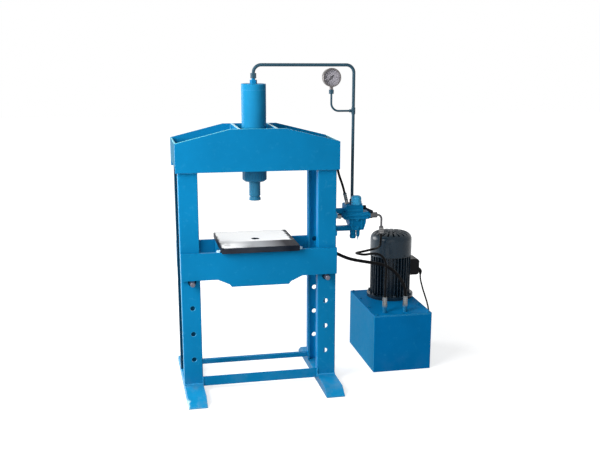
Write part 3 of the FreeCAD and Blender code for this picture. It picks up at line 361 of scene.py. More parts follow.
def ground_plate(name):
    """Plate ground bright on top, with a painted reflection going grey to dark along its near edge, where its
    gloss is lowered too, and mill scale on its sides.
    """
    mat, tree, shader = new_material(name)
    where = place(tree)
    x, y, _ = axes(tree, where)
    lines = noise(tree, place(tree, (1, 14, 1)), 160.0, 3.0, 0.6)
    broad = noise(tree, where, 9.0, 4.0, 0.6)
    grey, dark = near_edge_painted_reflection(tree, x, y, broad)
    tone = mix(tree, span(tree, lines, 0.35, 0.65), GROUND_DARK, GROUND_LIGHT)
    # painted reflection along the near edge
    tone = mix(tree, grey, tone, REFLECTION_GREY)
    tone = mix(tree, dark, tone, REFLECTION_DARK)
    near_left = maths(tree, "SUBTRACT", product(tree, x, -1.0), y)
    blots = product(tree, span(tree, near_left, 0.12, 0.26), span(tree, broad, 0.50, 0.60, 0, 0.8))
    tone = mix(tree, blots, tone, BLOT)
    spots = span(tree, noise(tree, where, 55.0, 4.0, 0.7), 0.66, 0.74, 0, 0.35)
    tone = mix(tree, spots, tone, SPOT)
    rim = dark_rim(tree, x, y, where)
    speckle = span(tree, noise(tree, where, 60.0, 4.0, 0.7), 0.30, 0.50, 0.70, 1.0)
    tone = mix(tree, product(tree, rim, speckle), tone, RIM_DARK)
    tone = mix(tree, edge_mask(tree, 0.006), tone, EDGE_DARK)
    top = facing(tree, UP, 0.35, 0.80)
    scale = mix(tree, span(tree, broad, 0.35, 0.65), SCALE_DARK, SCALE_LIGHT)
    dull = greater(tree, dark, rim)
    gloss = span(tree, dull, 0.0, 1.0, 0.12, 0.01)
    metal = product(tree, top, span(tree, dull, 0.0, 1.0, 0.35, 0.0))
    rough = span(tree, lines, 0.3, 0.7, 0.36, 0.50)
    finish(tree, shader, mix(tree, top, scale, tone), rough, gloss, metal)
    bump(tree, shader, lines, 0.08, 0.0002)
    return mat


def plated(name, level, low_tone, high_tone):
    """Zinc-plated fitting, blue below a level and bare zinc above it."""
    mat, tree, shader = new_material(name)
    where = place(tree)
    fine = noise(tree, where, 120.0, 3.0, 0.6)
    ragged = span(tree, noise(tree, where, 40.0, 3.0), 0.3, 0.7, -0.004, 0.004)
    height = maths(tree, "ADD", axes(tree, where)[2], ragged)
    bare = span(tree, height, level - 0.004, level + 0.006)
    metal = mix(tree, span(tree, fine, 0.35, 0.65), shade(high_tone, 0.75), high_tone)
    finish(tree, shader, mix(tree, bare, low_tone, metal), span(tree, fine, 0.3, 0.7, 0.32, 0.46), 0.1,
           product(tree, bare, 0.8))
    bump(tree, shader, fine, 0.1, 0.0003)
    return mat


def grained(name, colour, rough=0.5, grain=500.0, depth=0.0004, strength=0.25, gloss=0.2):
    """Plastic, rubber or print: one tone with paler patches and a fine grain."""
    mat, tree, shader = new_material(name)
    where = place(tree)
    fine = noise(tree, where, grain, 3.0, 0.6)
    broad = noise(tree, where, 18.0, 4.0, 0.6)
    paler = tuple(c * 1.6 + 0.003 for c in colour)
    tone = mix(tree, span(tree, broad, 0.35, 0.7), colour, paler)
    finish(tree, shader, tone, span(tree, broad, 0.3, 0.7, rough - 0.08, rough + 0.12), gloss)
    bump(tree, shader, fine, strength, depth)
    return mat


def clear_glass(name):
    """Thin gauge glass with a faint smear."""
    mat, tree, shader = new_material(name)
    smear = span(tree, noise(tree, place(tree), 60.0, 4.0, 0.6), 0.4, 0.7, 0.03, 0.10)
    finish(tree, shader, (0.95, 0.97, 0.98), smear)
    shader.inputs["IOR"].default_value = 1.45
    shader.inputs["Transmission Weight"].default_value = 1.0
    shader.inputs["Alpha"].default_value = 0.10
    return mat


# ---------------------------------------------------------------- materials
BLUE = (0.0032, 0.172, 0.375)
FOOT_BLUE = (0.006, 0.240, 0.490)
RAM_BLUE = (0.024, 0.165, 0.290)
# the posts' edge tone: rubbed paint and a painted highlight along their edges
POST_PALE = (0.10, 0.50, 0.72)
MOTOR_PALE = (0.14, 0.18, 0.21)
BLUE_LEVEL = 0.306             # below this height the tank's fittings are blue
PRINT = {"rough": 0.6, "grain": 900, "depth": 0.0001, "strength": 0.05}

MAT = {
    "frame_blue": enamel("frame_blue", BLUE),
    "foot_blue": enamel("foot_blue", FOOT_BLUE, gloss=0.05),
    # painted shadow round the bed pins
    "pin_shadow_blue": enamel("pin_shadow_blue", (0.001, 0.026, 0.060), edge_wear_and_light=0.0, grime=0.0),
    "weld_blue": enamel("weld_blue", (0.012, 0.225, 0.450), edge_wear_and_light=0.0, grime=0.0, gloss=0.25),
    "pipe_blue": enamel("pipe_blue", (0.024, 0.066, 0.098), edge_wear_and_light=0.2, grime=0.0, gloss=0.12,
                        pale=(0.08, 0.30, 0.40)),
    "motor_grey": enamel("motor_grey", (0.007, 0.021, 0.036), rough=0.26, grime=0.0, gloss=0.25,
                         pale=MOTOR_PALE),
    "bright_steel": ground_plate("bright_steel"),
    "pin_steel": bright_metal("pin_steel", (0.150, 0.150, 0.185), 0.50, stain=0.15),
    "zinc_steel": bright_metal("zinc_steel", (0.26, 0.26, 0.255), 0.38, (1, 1, 6)),
    "gauge_steel": bright_metal("gauge_steel", (0.15, 0.14, 0.14), 0.34, streak=0.12),
    "dial_white": grained("dial_white", (0.275, 0.262, 0.290), **PRINT),
    "gauge_glass": clear_glass("gauge_glass"),
    "dial_ink": grained("dial_ink", (0.150, 0.142, 0.158), **PRINT),
    "pointer_black": grained("pointer_black", (0.01, 0.01, 0.011), 0.4),
    "black_plastic": grained("black_plastic", (0.004, 0.004, 0.005), 0.38, gloss=0.1),
    "fan_plastic": grained("fan_plastic", (0.004, 0.005, 0.006), 0.6, gloss=0.03),
    "hose_rubber": grained("hose_rubber", (0.003, 0.003, 0.0035), 0.46, 700, gloss=0.05),
    "seal_rubber": grained("seal_rubber", (0.02, 0.02, 0.02), 0.6),
    "piston_iron": bright_metal("piston_iron", (0.22, 0.22, 0.23), 0.5),
    "pump_aluminium": bright_metal("pump_aluminium", (0.58, 0.59, 0.60), 0.45),
    "lever_steel": enamel("lever_steel", (0.006, 0.010, 0.016), edge_wear_and_light=0.3, grime=0.0, pale=(0.08, 0.10, 0.12)),
}

# nodes that wear their slot's finish in a way of their own
LOOKS = {
    # tank: its left and right faces are painted lighter than its front, a painted light
    "tank_shell": enamel("tank_blue", (0.0010, 0.146, 0.380), gloss=0.006, grime=0.05,
                         side=(0.004, 0.180, 0.375)),
    "tank_lid": enamel("lid_blue", (0.0015, 0.175, 0.430), edge_wear_and_light=0.8, gloss=0.003, edge=0.004,
                       pale=(0.10, 0.36, 0.50)),
    # left front post: painted highlight on its left and right faces and along its edges
    "left_front_upright": enamel("post_blue", BLUE, edge=0.004, pale=POST_PALE, side=(0.050, 0.260, 0.450)),
    # left rear post: painted shade on its left and right faces and on its deep front faces
    "left_rear_upright": enamel("rear_post_blue", BLUE, edge=0.004, pale=(0.02, 0.20, 0.36),
                                side=(0.001, 0.034, 0.060), inside=(0.001, 0.034, 0.075, 0.070)),
    # right posts: painted shade on their left and right faces, painted light on the deep front faces (the
    # rear upright's web)
    "right_front_upright": enamel("right_post_blue", BLUE, edge=0.004, pale=POST_PALE,
                                  side=(0.0015, 0.142, 0.350), inside=(0.004, 0.370, 0.800, 0.090)),
    "left_foot": enamel("left_foot_blue", FOOT_BLUE, edge_wear_and_light=1.0, grime=0.4, gloss=0.05, edge=0.005,
                        pale=(0.42, 0.60, 0.70), bare=(-0.341, -0.296, 0.012)),
    # right foot: painted shade on its left and right faces
    "right_foot": enamel("right_foot_blue", (0.006, 0.225, 0.470), grime=0.4, gloss=0.05, edge=0.005,
                         pale=(0.20, 0.46, 0.60), side=(0.004, 0.130, 0.280)),
    # crown: painted highlight on faces that look up and left; painted shade on the end plates' left and right
    # faces
    "crown_ribs": enamel("rib_blue", BLUE, top_painted_light=(0.55, 0.86, 0.90)),
    "crown_front_plate": enamel("plate_blue", BLUE, top_painted_light=(0.10, 0.52, 0.62)),
    "crown_ends": enamel("end_blue", BLUE, gloss=0.002, top_painted_light=(0.30, 0.70, 0.78), side=(0.020, 0.120, 0.200)),
    "valve_body": enamel("valve_blue", (0.0020, 0.150, 0.340), edge=0.003, pale=(0.05, 0.36, 0.58)),
    # valve cap: its dark edge tone is a painted shade round the cap's edges
    "valve_cap": enamel("cap_blue", (0.020, 0.330, 0.600), gloss=0.3, edge=0.004, pale=(0.004, 0.10, 0.18)),
    "pressure_elbow": bright_metal("elbow_steel", (0.105, 0.105, 0.110), 0.34),
    "cylinder_barrel": enamel("barrel_blue", (0.010, 0.205, 0.410)),
    "gland_nut": enamel("nut_blue", (0.014, 0.138, 0.265), gloss=0.08, edge=0.003, pale=(0.05, 0.30, 0.46)),
    "ram": enamel("ram_blue", RAM_BLUE, gloss=0.12),
    # ram nose: its dark edge tone is a painted shade round its edges
    "ram_nose": enamel("nose_blue", RAM_BLUE, gloss=0.12, edge=0.003, pale=(0.004, 0.06, 0.12)),
    "tank_unions": plated("fitting_zinc", BLUE_LEVEL, (0.010, 0.150, 0.300), (0.20, 0.22, 0.23)),
    # fan cover: a painted shade on its top, where its gloss is also lowered
    "fan_cover": enamel("cover_grey", (0.010, 0.028, 0.046), rough=0.26, edge_wear_and_light=0.15, grime=0.0, gloss=0.25,
                        pale=MOTOR_PALE, top_painted_light=(0.006, 0.016, 0.025), dull=0.02),
    "bed_stops": enamel("stop_blue", (0.42, 0.62, 0.76), gloss=0.3),
}
LOOKS["right_rear_upright"] = LOOKS["right_front_upright"]

for part in frame["record"]["subparts"]:
    for slot in NODES[part["node"]].material_slots:
        slot.material = LOOKS.get(part["node"], MAT[part["material_slot"]])


# ---------------------------------------------------------------- softened edges
SOFTENED = ("left_front_upright", "left_rear_upright", "right_front_upright", "right_rear_upright",
            "left_foot", "right_foot", "front_tie_bar", "rear_tie_bar",
            "crown_front_plate", "crown_rear_plate", "crown_ends", "crown_ribs", "crown_base_plate",
            "bed_front_plate", "bed_rear_plate", "bed_spacers", "bolster_plate", "bed_stops",
            "left_bed_pin", "right_bed_pin", "cylinder_barrel", "cap_fitting", "ram", "ram_nose",
            "valve_body", "valve_bracket", "tank_shell", "tank_lid", "terminal_box")
EDGE_WIDTH = 0.0012


def soften(obj):
    """Rounds the edges of one of the model's nodes by modifiers; its own mesh keeps its shape."""
    weld = obj.modifiers.new("weld", "WELD")
    weld.merge_threshold = 0.00001
    bevel = obj.modifiers.new("bevel", "BEVEL")
    bevel.width = EDGE_WIDTH
    bevel.segments = 2
    bevel.limit_method = "ANGLE"
    bevel.angle_limit = math.radians(35)
    bevel.use_clamp_overlap = True
    normals = obj.modifiers.new("normals", "WEIGHTED_NORMAL")
    normals.weight = 60
    for polygon in obj.data.polygons:
        polygon.use_smooth = True


for node_name in SOFTENED:
    soften(NODES[node_name])


# ---------------------------------------------------------------- mesh helpers
def around(count):
    """Angles of a full turn in equal steps."""
    return [2 * math.pi * i / count for i in range(count)]


def turned(bm, profile, at, way=UP, steps=28, turn=0.0):
    """Adds a turned form of (radius, height) pairs, set on a point and aimed along a direction."""
    aim = Vector(way).to_track_quat("Z", "Y").to_matrix().to_4x4()
    aim = Matrix.Translation(at) @ aim @ Matrix.Rotation(turn, 4, "Z")
    rings = []
    for radius, height in profile:
        angles = [0.0] if radius < 1e-6 else around(steps)
        places = [Vector((radius * math.cos(a), radius * math.sin(a), height)) for a in angles]
        rings.append([bm.verts.new(aim @ point) for point in places])
    for low, high in zip(rings, rings[1:]):
        for i in range(steps):
            corners = []
            for ring, k in ((low, i), (low, i + 1), (high, i + 1), (high, i)):
                vert = ring[k % len(ring)]
                if vert not in corners:
                    corners.append(vert)
            if len(corners) > 2:
                bm.faces.new(corners)


def band(bm, inner, outer, base, top, at, way=UP):
    """Adds a ring with softened outer corners, between two radii and two heights."""
    soft = min(outer - inner, top - base) * 0.25
    profile = [(inner, base), (outer - soft, base), (outer, base + soft), (outer, top - soft),
               (outer - soft, top), (inner, top), (inner, base)]
    turned(bm, profile, at, way, 36)


def hex_head(bm, at, way, across, height, turn=0.0):
    """Adds a hexagon head with a chamfered top, on its washer."""
    corner = across / math.sqrt(3)
    washer = corner * 1.22
    sheet = across * 0.14
    turned(bm, [(0, 0), (washer, 0), (washer, sheet), (0, sheet)], at, way, 24)
    profile = [(corner, sheet * 0.5), (corner, sheet + height * 0.8), (corner * 0.86, sheet + height),
               (0, sheet + height * 0.97)]
    turned(bm, profile, at, way, 6, turn)


def socket_head(bm, at, way, across):
    """Adds a cap screw's round head with its hexagon recess."""
    r = across / 2
    turned(bm, [(r, 0), (r, r * 0.9), (r * 0.9, r), (r * 0.55, r)], at, way, 20)
    turned(bm, [(r * 0.55, r), (r * 0.5, r), (r * 0.5, r * 0.4), (0, r * 0.4)], at, way, 6)


def slab(bm, corners, push):
    """Adds a flat piece: its corners in order, pushed along a vector."""
    low = [bm.verts.new(Vector(c)) for c in corners]
    high = [bm.verts.new(Vector(c) + Vector(push)) for c in corners]
    bm.faces.new(low)
    bm.faces.new(list(reversed(high)))
    for i in range(len(low)):
        j = (i + 1) % len(low)
        bm.faces.new((low[i], high[i], high[j], low[j]))


SHARP_ANGLE = math.radians(34)
WELD_STEP = 0.0014              # between two sections of a bead
WELD_PITCH = 0.0046             # between two ripples
WELD_WANDER = 0.05              # a bead's random change of radius, as a share


def stations_along(points, closed, step):
    """Points at equal steps along a line, or only its corners where the step is none."""
    path = [Vector(p) for p in points]
    if closed:
        path.append(path[0])
    stations = []
    for a, b in zip(path, path[1:]):
        count = max(1, int((b - a).length / step)) if step else 1
        stations += [a.lerp(b, k / count) for k in range(count)]
    if not closed:
        stations.append(path[-1])
    return stations


def bar(bm, points, radius, sides=8, closed=False, ripple=0.0):
    """Adds a round bar along a line; with a ripple it is a hand-laid weld bead."""
    stations = stations_along(points, closed, WELD_STEP if ripple else None)
    last = len(stations) - 1
    rings = []
    travelled = 0.0
    across = None
    for i, here in enumerate(stations):
        before = stations[i - 1] if closed or i else here
        after = stations[(i + 1) % len(stations)] if closed or i < last else here
        travelled += (here - before).length
        way = (after - before).normalized()
        if across is None:
            across = way.orthogonal().normalized()
        else:
            across = (across - way * across.dot(way)).normalized()
        over = way.cross(across)
        grow = 1.0
        if ripple:
            wave = abs(math.sin(math.pi * travelled / WELD_PITCH))
            grow = 1 - ripple * wave + rng.uniform(-WELD_WANDER, WELD_WANDER)
        rings.append([bm.verts.new(here + (across * math.cos(a) + over * math.sin(a)) * radius * grow)
                      for a in around(sides)])
    pairs = list(zip(rings, rings[1:]))
    if closed:
        pairs.append((rings[-1], rings[0]))
    for low, high in pairs:
        for k in range(sides):
            after = (k + 1) % sides
            bm.faces.new((low[k], low[after], high[after], high[k]))
    if not closed:
        bm.faces.new(list(reversed(rings[0])))
        bm.faces.new(rings[-1])


def weld(bm, start, end, radius, ripple=0.22):
    bar(bm, [start, end], radius, ripple=ripple)


def circle(at, radius, count):
    x, y, z = at
    return [(x + radius * math.cos(a), y + radius * math.sin(a), z) for a in around(count)]


def piece(name, bm, material):
    """Makes an object of the mesh; it rides on the frame."""
    bmesh.ops.remove_doubles(bm, verts=bm.verts, dist=1e-6)
    bmesh.ops.recalc_face_normals(bm, faces=bm.faces)
    for face in bm.faces:
        face.smooth = True
    mesh = bpy.data.meshes.new(name)
    bm.to_mesh(mesh)
    bm.free()
    mesh.set_sharp_from_angle(angle=SHARP_ANGLE)
    mesh.materials.append(MAT[material])
    obj = add_object(name, mesh)
    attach(obj, "frame")


# ---------------------------------------------------------------- places shared by several pieces
VALVE_AXIS_Y = -0.012           # the valve's ports and its bracket's arms lie on this line
ARM_HALF = 0.011
STRIP_THICKNESS = 0.006
RIB_THICKNESS = 0.012
END_THICKNESS = 0.008
BEAD_OFF = 0.0008               # from a plate's face to the middle of a bead on it
COIL_X, COIL_Y = 0.690, 0.470

# middle lines of the hoses and of the lead's free stretch
PRESSURE = [(0.578, -0.012, 0.658), (0.578, -0.012, 0.636), (0.579, -0.003, 0.612), (0.583, 0.017, 0.592),
            (0.584, 0.058, 0.573), (0.557, 0.088, 0.558), (0.514, 0.090, 0.550), (0.480, 0.063, 0.553),
            (0.475, 0.018, 0.560), (0.499, -0.021, 0.562), (0.540, -0.038, 0.573), (0.580, -0.036, 0.559),
            (0.600, -0.030, 0.520), (0.604, -0.024, 0.472), (0.604, -0.015, 0.420), (0.605, -0.010, 0.376),
            (0.605, -0.010, 0.352)]
RETURN = [(0.366, -0.012, 0.745), (0.337, -0.012, 0.745), (0.309, -0.018, 0.737), (0.287, -0.029, 0.719),
          (0.276, -0.042, 0.693), (0.276, -0.054, 0.663), (0.288, -0.061, 0.635), (0.309, -0.062, 0.612),
          (0.335, -0.058, 0.596), (0.363, -0.051, 0.581), (0.391, -0.043, 0.566), (0.421, -0.035, 0.552),
          (0.455, -0.026, 0.541), (0.497, -0.015, 0.530), (0.541, -0.005, 0.519), (0.587, 0.004, 0.508),
          (0.632, 0.008, 0.487), (0.668, 0.006, 0.454), (0.693, -0.003, 0.414), (0.705, -0.010, 0.377),
          (0.705, -0.010, 0.352)]
RETRACT = [(0.372, 0, 0.988), (0.372, 0, 0.966), (0.3755, -0.0012, 0.943), (0.383, -0.0045, 0.917),
           (0.391, -0.009, 0.894), (0.39775, -0.012, 0.871), (0.404, -0.012, 0.846)]
CABLE = [(0.874, 0.270, 0.377), (0.874, 0.270, 0.357), (0.877, 0.262, 0.335), (0.880, 0.243, 0.307),
         (0.883, 0.214, 0.278), (0.887, 0.185, 0.246), (0.889, 0.163, 0.206), (0.884, 0.148, 0.158),
         (0.875, 0.150, 0.104), (0.864, 0.165, 0.054), (0.856, 0.200, 0.020), (0.849, 0.248, 0.006),
         (0.846, 0.302, 0.0042), (0.845, 0.357, 0.0042), (0.836, 0.412, 0.0042), (0.812, 0.463, 0.0042),
         (0.774, 0.504, 0.0042), (0.729, 0.5267, 0.0042)]


# ---------------------------------------------------------------- cords
COIL_RADIUS = 0.0567            # of the outermost half turn, to the lead's middle
COIL_STEP = 0.00485             # inwards, and out again, at each half turn
HALF_TURNS = 9
COIL_SAMPLES = 6                # points in a half turn
LOWER_Z, UPPER_Z = 0.0042, 0.0139
PLUG_Z = 0.017
PLUG_REACH = 0.062              # from the coil's middle to the plug


def coil_points():
    """Two layers of the stored lead: the lower winds in, the upper one out again, and so to the plug."""
    radii = [COIL_RADIUS - COIL_STEP * min(i, HALF_TURNS - i) for i in range(HALF_TURNS + 1)]
    heights = [LOWER_Z] * 5 + [UPPER_Z] * 4 + [PLUG_Z]
    points = []
    for i in range(HALF_TURNS):
        for k in range(COIL_SAMPLES):
            t = k / COIL_SAMPLES
            ease = t * t * (3 - 2 * t)
            angle = math.pi * (0.5 + i + t)
            radius = radii[i] + (radii[i + 1] - radii[i]) * t
            z = heights[i] + (heights[i + 1] - heights[i]) * ease
            points.append((COIL_X + radius * math.cos(angle), COIL_Y + radius * math.sin(angle), z))
    return points + [(COIL_X + x, COIL_Y - COIL_RADIUS, PLUG_Z) for x in (0, 0.030, PLUG_REACH)]


def cord_object(name, points, diameter, material):
    curve = bpy.data.curves.new(name, "CURVE")
    curve.dimensions = "3D"
    curve.bevel_depth = diameter / 2
    curve.bevel_resolution = 6
    curve.resolution_u = 10
    curve.use_fill_caps = True
    spline = curve.splines.new("NURBS")
    spline.points.add(len(points) - 1)
    for point, place_at in zip(spline.points, points):
        point.co = (*place_at, 1)
    spline.order_u = 3
    spline.use_endpoint_u = True
    curve.materials.append(MAT[material])
    obj = add_object(name, curve)
    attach(obj, "frame")
    return obj


def make_cords():
    pressure = cord_object("pressure_hose_run", PRESSURE, 0.011, "hose_rubber")
    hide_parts("pressure_hose")
    back = cord_object("return_hose_run", RETURN, 0.015, "hose_rubber")
    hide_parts("return_hose")
    retract = cord_object("retract_hose_run", RETRACT, 0.011, "hose_rubber")
    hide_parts("retract_hose")
    lead = cord_object("motor_lead", CABLE + coil_points(), 0.008, "hose_rubber")
    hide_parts("power_cable", "cable_coil")


# ---------------------------------------------------------------- welds
def post_welds():
    """Beads on the posts: under the crown's plates, on the feet and at the front tie's ends."""
    post_low, post_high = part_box("right_front_upright")
    tie_low, tie_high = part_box("front_tie_bar")
    crown_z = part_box("crown_front_plate")[0].z - 0.001
    foot_z = post_low.z + 0.001
    depth = -post_low.y
    tie_y = -depth - 0.0005
    crown_bead, foot_bead, tie_bead = 0.0042, 0.0055, 0.0034
    bm = bmesh.new()
    for side in (-1, 1):
        inner, outer = side * post_low.x, side * post_high.x
        for face in (-1, 1):
            y = face * (depth + BEAD_OFF)
            weld(bm, (inner, y, crown_z), (outer, y, crown_z), crown_bead)
            weld(bm, (inner, y, foot_z), (outer, y, foot_z), foot_bead, 0.25)
        weld(bm, (inner, tie_y, tie_low.z), (inner, tie_y, tie_high.z), tie_bead)
    piece("post_welds", bm, "weld_blue")


def crown_welds():
    """Upright beads inside the crown, on both sides of each rib and on the end plates' inner sides."""
    rib_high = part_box("crown_ribs")[1]
    end_low, end_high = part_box("crown_ends")
    base_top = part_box("crown_base_plate")[1].z
    rib_span = (base_top, rib_high.z - 0.004)
    end_span = (end_low.z + 0.004, end_high.z - 0.005)
    beads = [(rib_high.x - RIB_THICKNESS - BEAD_OFF, rib_span), (rib_high.x + BEAD_OFF, rib_span),
             (end_high.x - END_THICKNESS - BEAD_OFF, end_span)]
    bm = bmesh.new()
    for side in (-1, 1):
        for face in (-1, 1):
            y = face * (rib_high.y - BEAD_OFF)
            for x, (low, high) in beads:
                weld(bm, (side * x, y, low), (side * x, y, high), 0.0036)
    piece("crown_welds", bm, "weld_blue")


def barrel_welds():
    """Beads round the barrel's foot, round its cap and round the cap's fitting."""
    base_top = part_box("crown_base_plate")[1].z
    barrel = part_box("cylinder_barrel")[1]
    fitting_r = 0.0158
    bm = bmesh.new()
    bar(bm, circle((0, 0, base_top + 0.001), barrel.x + 0.001, 110), 0.0045, closed=True, ripple=0.22)
    bar(bm, circle((0, 0, barrel.z - 0.025), barrel.x - 0.001, 110), 0.0016, closed=True, ripple=0.30)
    bar(bm, circle((0, 0, barrel.z - 0.0004), fitting_r, 48), 0.0016, closed=True, ripple=0.25)
    piece("barrel_welds", bm, "weld_blue")


def bracket_welds():
    """Beads round the valve bracket's arms and at the ends of its strips."""
    low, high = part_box("valve_bracket")
    x = low.x + STRIP_THICKNESS + BEAD_OFF
    near, far = VALVE_AXIS_Y - ARM_HALF, VALVE_AXIS_Y + ARM_HALF
    strip_end = high.y + 0.0005
    bm = bmesh.new()
    for z in (high.z - ARM_HALF, low.z + ARM_HALF):
        z0, z1 = z - ARM_HALF, z + ARM_HALF
        corners = [(x, near, z0), (x, far, z0), (x, far, z1), (x, near, z1)]
        for a, b in zip(corners, corners[1:] + corners[:1]):
            weld(bm, a, b, 0.0028)
        for y in (-strip_end, strip_end):
            weld(bm, (low.x + 0.001, y, z0), (low.x + 0.001, y, z1), 0.0028)
    piece("bracket_welds", bm, "weld_blue")


# ---------------------------------------------------------------- power pack's fasteners
def motor_axis():
    """The motor's upright axis and its flange's radius."""
    low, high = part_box("motor_housing")
    return (low.x + high.x) / 2, (low.y + high.y) / 2, (high.x - low.x) / 2


def flange_bolts():
    x, y, flange_r = motor_axis()
    flange_thickness = 0.016
    circle_r = flange_r - 0.0082
    top_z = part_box("tank_lid")[1].z + flange_thickness
    bm = bmesh.new()
    for i in range(6):
        angle = math.radians(60 * i + 25)
        at = (x + circle_r * math.cos(angle), y + circle_r * math.sin(angle), top_z)
        hex_head(bm, at, UP, 0.012, 0.007, angle)
    piece("flange_bolts", bm, "motor_grey")


def lid_screws():
    """Screws along the lid's rim."""
    low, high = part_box("tank_lid")
    inset = 0.014
    left, right = low.x + inset, high.x - inset
    near, far = low.y + inset, high.y - inset
    places = [(x, y) for x in (left, (low.x + high.x) / 2, right) for y in (near, far)]
    places += [(x, y) for y in (0.09, 0.24) for x in (left, right)]
    bm = bmesh.new()
    for x, y in places:
        socket_head(bm, (x, y, high.z), UP, 0.010)
    piece("lid_screws", bm, "frame_blue")


def cover_trim():
    """The fan cover's screws and its rolled lower edge."""
    x, y, _ = motor_axis()
    low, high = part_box("fan_cover")
    wall_r = (high.x - low.x) / 2 - 0.0004
    bm = bmesh.new()
    for i in range(4):
        angle = math.radians(90 * i + 205)
        way = (math.cos(angle), math.sin(angle), 0)
        socket_head(bm, (x + wall_r * way[0], y + wall_r * way[1], low.z + 0.007), way, 0.008)
    bar(bm, circle((x, y, low.z + 0.0012), wall_r, 72), 0.0014, closed=True)
    piece("cover_trim", bm, "motor_grey")


def box_screws():
    """The connection box's cover screws and two seams on its near side."""
    low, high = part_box("terminal_box")
    axis_y = motor_axis()[1]
    face_x = 0.854                      # outer face of the box's cover
    seam_y = low.y + 0.0002
    middle_z = high.z - 0.038
    bm = bmesh.new()
    for y in (-0.030, 0.030):
        for z in (-0.020, 0.020):
            socket_head(bm, (face_x - 0.0002, axis_y + y, middle_z + z), RIGHT, 0.008)
    for x in (face_x - 0.048, face_x - 0.008):
        bar(bm, [(x, seam_y, high.z - 0.074), (x, seam_y, high.z - 0.006)], 0.0010, 6)
    piece("box_screws", bm, "black_plastic")


# ---------------------------------------------------------------- valve, hoses, pins
def valve_details():
    """Screws and casting ribs of the valve block, and rings on its lower stub."""
    low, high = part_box("valve_body")
    x = (low.x + high.x) / 2 + 0.002    # the block's own middle: the left port reaches further out
    front, top = low.y, high.z
    bm = bmesh.new()
    for dx in (-0.052, 0.048):
        for drop in (0.053, 0.041):
            socket_head(bm, (x + dx, front, top - drop), FRONT, 0.009)
    for dx in (-0.040, 0.022):
        socket_head(bm, (x + dx, front + 0.012, top), UP, 0.009)
    for drop in (0.104, 0.066):
        hex_head(bm, (x + 0.002, front + 0.008, top - drop), FRONT, 0.012, 0.006)
    piece("valve_screws", bm, "frame_blue")

    bm = bmesh.new()
    # left and right ends, drops of the lower and upper edge, and how far each level rib stands out
    for left, right, lower, upper, out in ((-0.063, 0.059, 0.050, 0.038, 0.0045),
                                           (-0.050, 0.024, 0.028, 0.020, 0.0035),
                                           (-0.056, 0.052, 0.063, 0.058, 0.0030)):
        z0, z1 = top - lower, top - upper
        section = [(front, z0), (front - out, z0 + out * 0.4), (front - out, z1 - out), (front, z1)]
        slab(bm, [(x + left, y, z) for y, z in section], (right - left, 0, 0))
    for left, right in ((-0.026, -0.020), (0.020, 0.026)):
        section = [(front + 0.008, top - 0.110), (front + 0.004, top - 0.108), (front + 0.004, top - 0.072),
                   (front + 0.008, top - 0.067)]
        slab(bm, [(x + left, y, z) for y, z in section], (right - left, 0, 0))
    piece("valve_casting", bm, "frame_blue")

    bm = bmesh.new()
    stub = (x - 0.010, VALVE_AXIS_Y, low.z)
    band(bm, 0.0125, 0.0148, 0.006, 0.016, stub)
    band(bm, 0.0125, 0.0142, 0.026, 0.032, stub)
    piece("valve_stub_rings", bm, "frame_blue")


FERRULE_RINGS = (0.0096, 0.0109)     # inner and outer radius
RING_HEIGHT = 0.005


def hose_crimps():
    """Swaged rings on every hose ferrule, placed from the hose's end."""
    bm = bmesh.new()
    for end, starts in ((PRESSURE[-1], (-0.032, -0.023, -0.014)), (RETURN[-1], (-0.032, -0.023, -0.014)),
                        (PRESSURE[0], (0.004, 0.013, 0.022))):
        for start in starts:
            band(bm, *FERRULE_RINGS, start, start + RING_HEIGHT, end)
    for start in (0.002, 0.0075):
        band(bm, 0.0096, 0.0107, start, start + 0.0035, RETURN[0], RIGHT)
    piece("hose_crimps", bm, "zinc_steel")

    bm = bmesh.new()
    port = Vector((0.414, VALVE_AXIS_Y, 0.806))
    way = (Vector(RETRACT[-1]) - port).normalized()
    for start in (0.012, 0.021, 0.030):
        band(bm, 0.0070, 0.0082, start, start + RING_HEIGHT, port, way)
    band(bm, 0.0048, 0.0088, 0.0385, 0.0445, port, way)
    piece("retract_crimps", bm, "pipe_blue")


def pin_details():
    """Dark rings on the posts' faces round each bed pin: a painted shadow of the gap round the pin."""
    post_y = -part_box("left_front_upright")[0].y
    for name in ("left_bed_pin", "right_bed_pin"):
        low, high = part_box(name)
        x, z, r = (low.x + high.x) / 2, (low.z + high.z) / 2, (high.z - low.z) / 2
        bm = bmesh.new()
        for face in (-1, 1):
            band(bm, r + 0.0002, r + 0.0070, 0.0, 0.0014, (x, face * (post_y + 0.0001), z), (0, face, 0))
        piece(name + "_rings", bm, "pin_shadow_blue")


def bolster_details():
    """Bright chamfer of the bore."""
    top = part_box("bolster_plate")[1].z
    profile = [(0.0171, -0.0030), (0.0171, -0.0008), (0.0186, 0.0004), (0.0200, 0.0004)]
    bm = bmesh.new()
    turned(bm, profile, (0, 0, top), steps=56)
    piece("bore_chamfer", bm, "bright_steel")


# ---------------------------------------------------------------- gauge
SCALE_START = 225               # degrees, where the scale's zero lies
SCALE_SWEEP = 270
TICK_STEPS = 30
NUMBER_STEPS = 6
INK_DEPTH = 0.0002


def gauge_rim(x, z, r):
    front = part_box("gauge_case")[0].y
    profile = [(r - 0.0010, 0.0), (r + 0.0020, -0.0006), (r + 0.0030, 0.0014), (r + 0.0026, 0.0060),
               (r + 0.0018, 0.0064)]
    bm = bmesh.new()
    turned(bm, profile, (x, front, z), BACK, 64)
    piece("gauge_rim", bm, "gauge_steel")


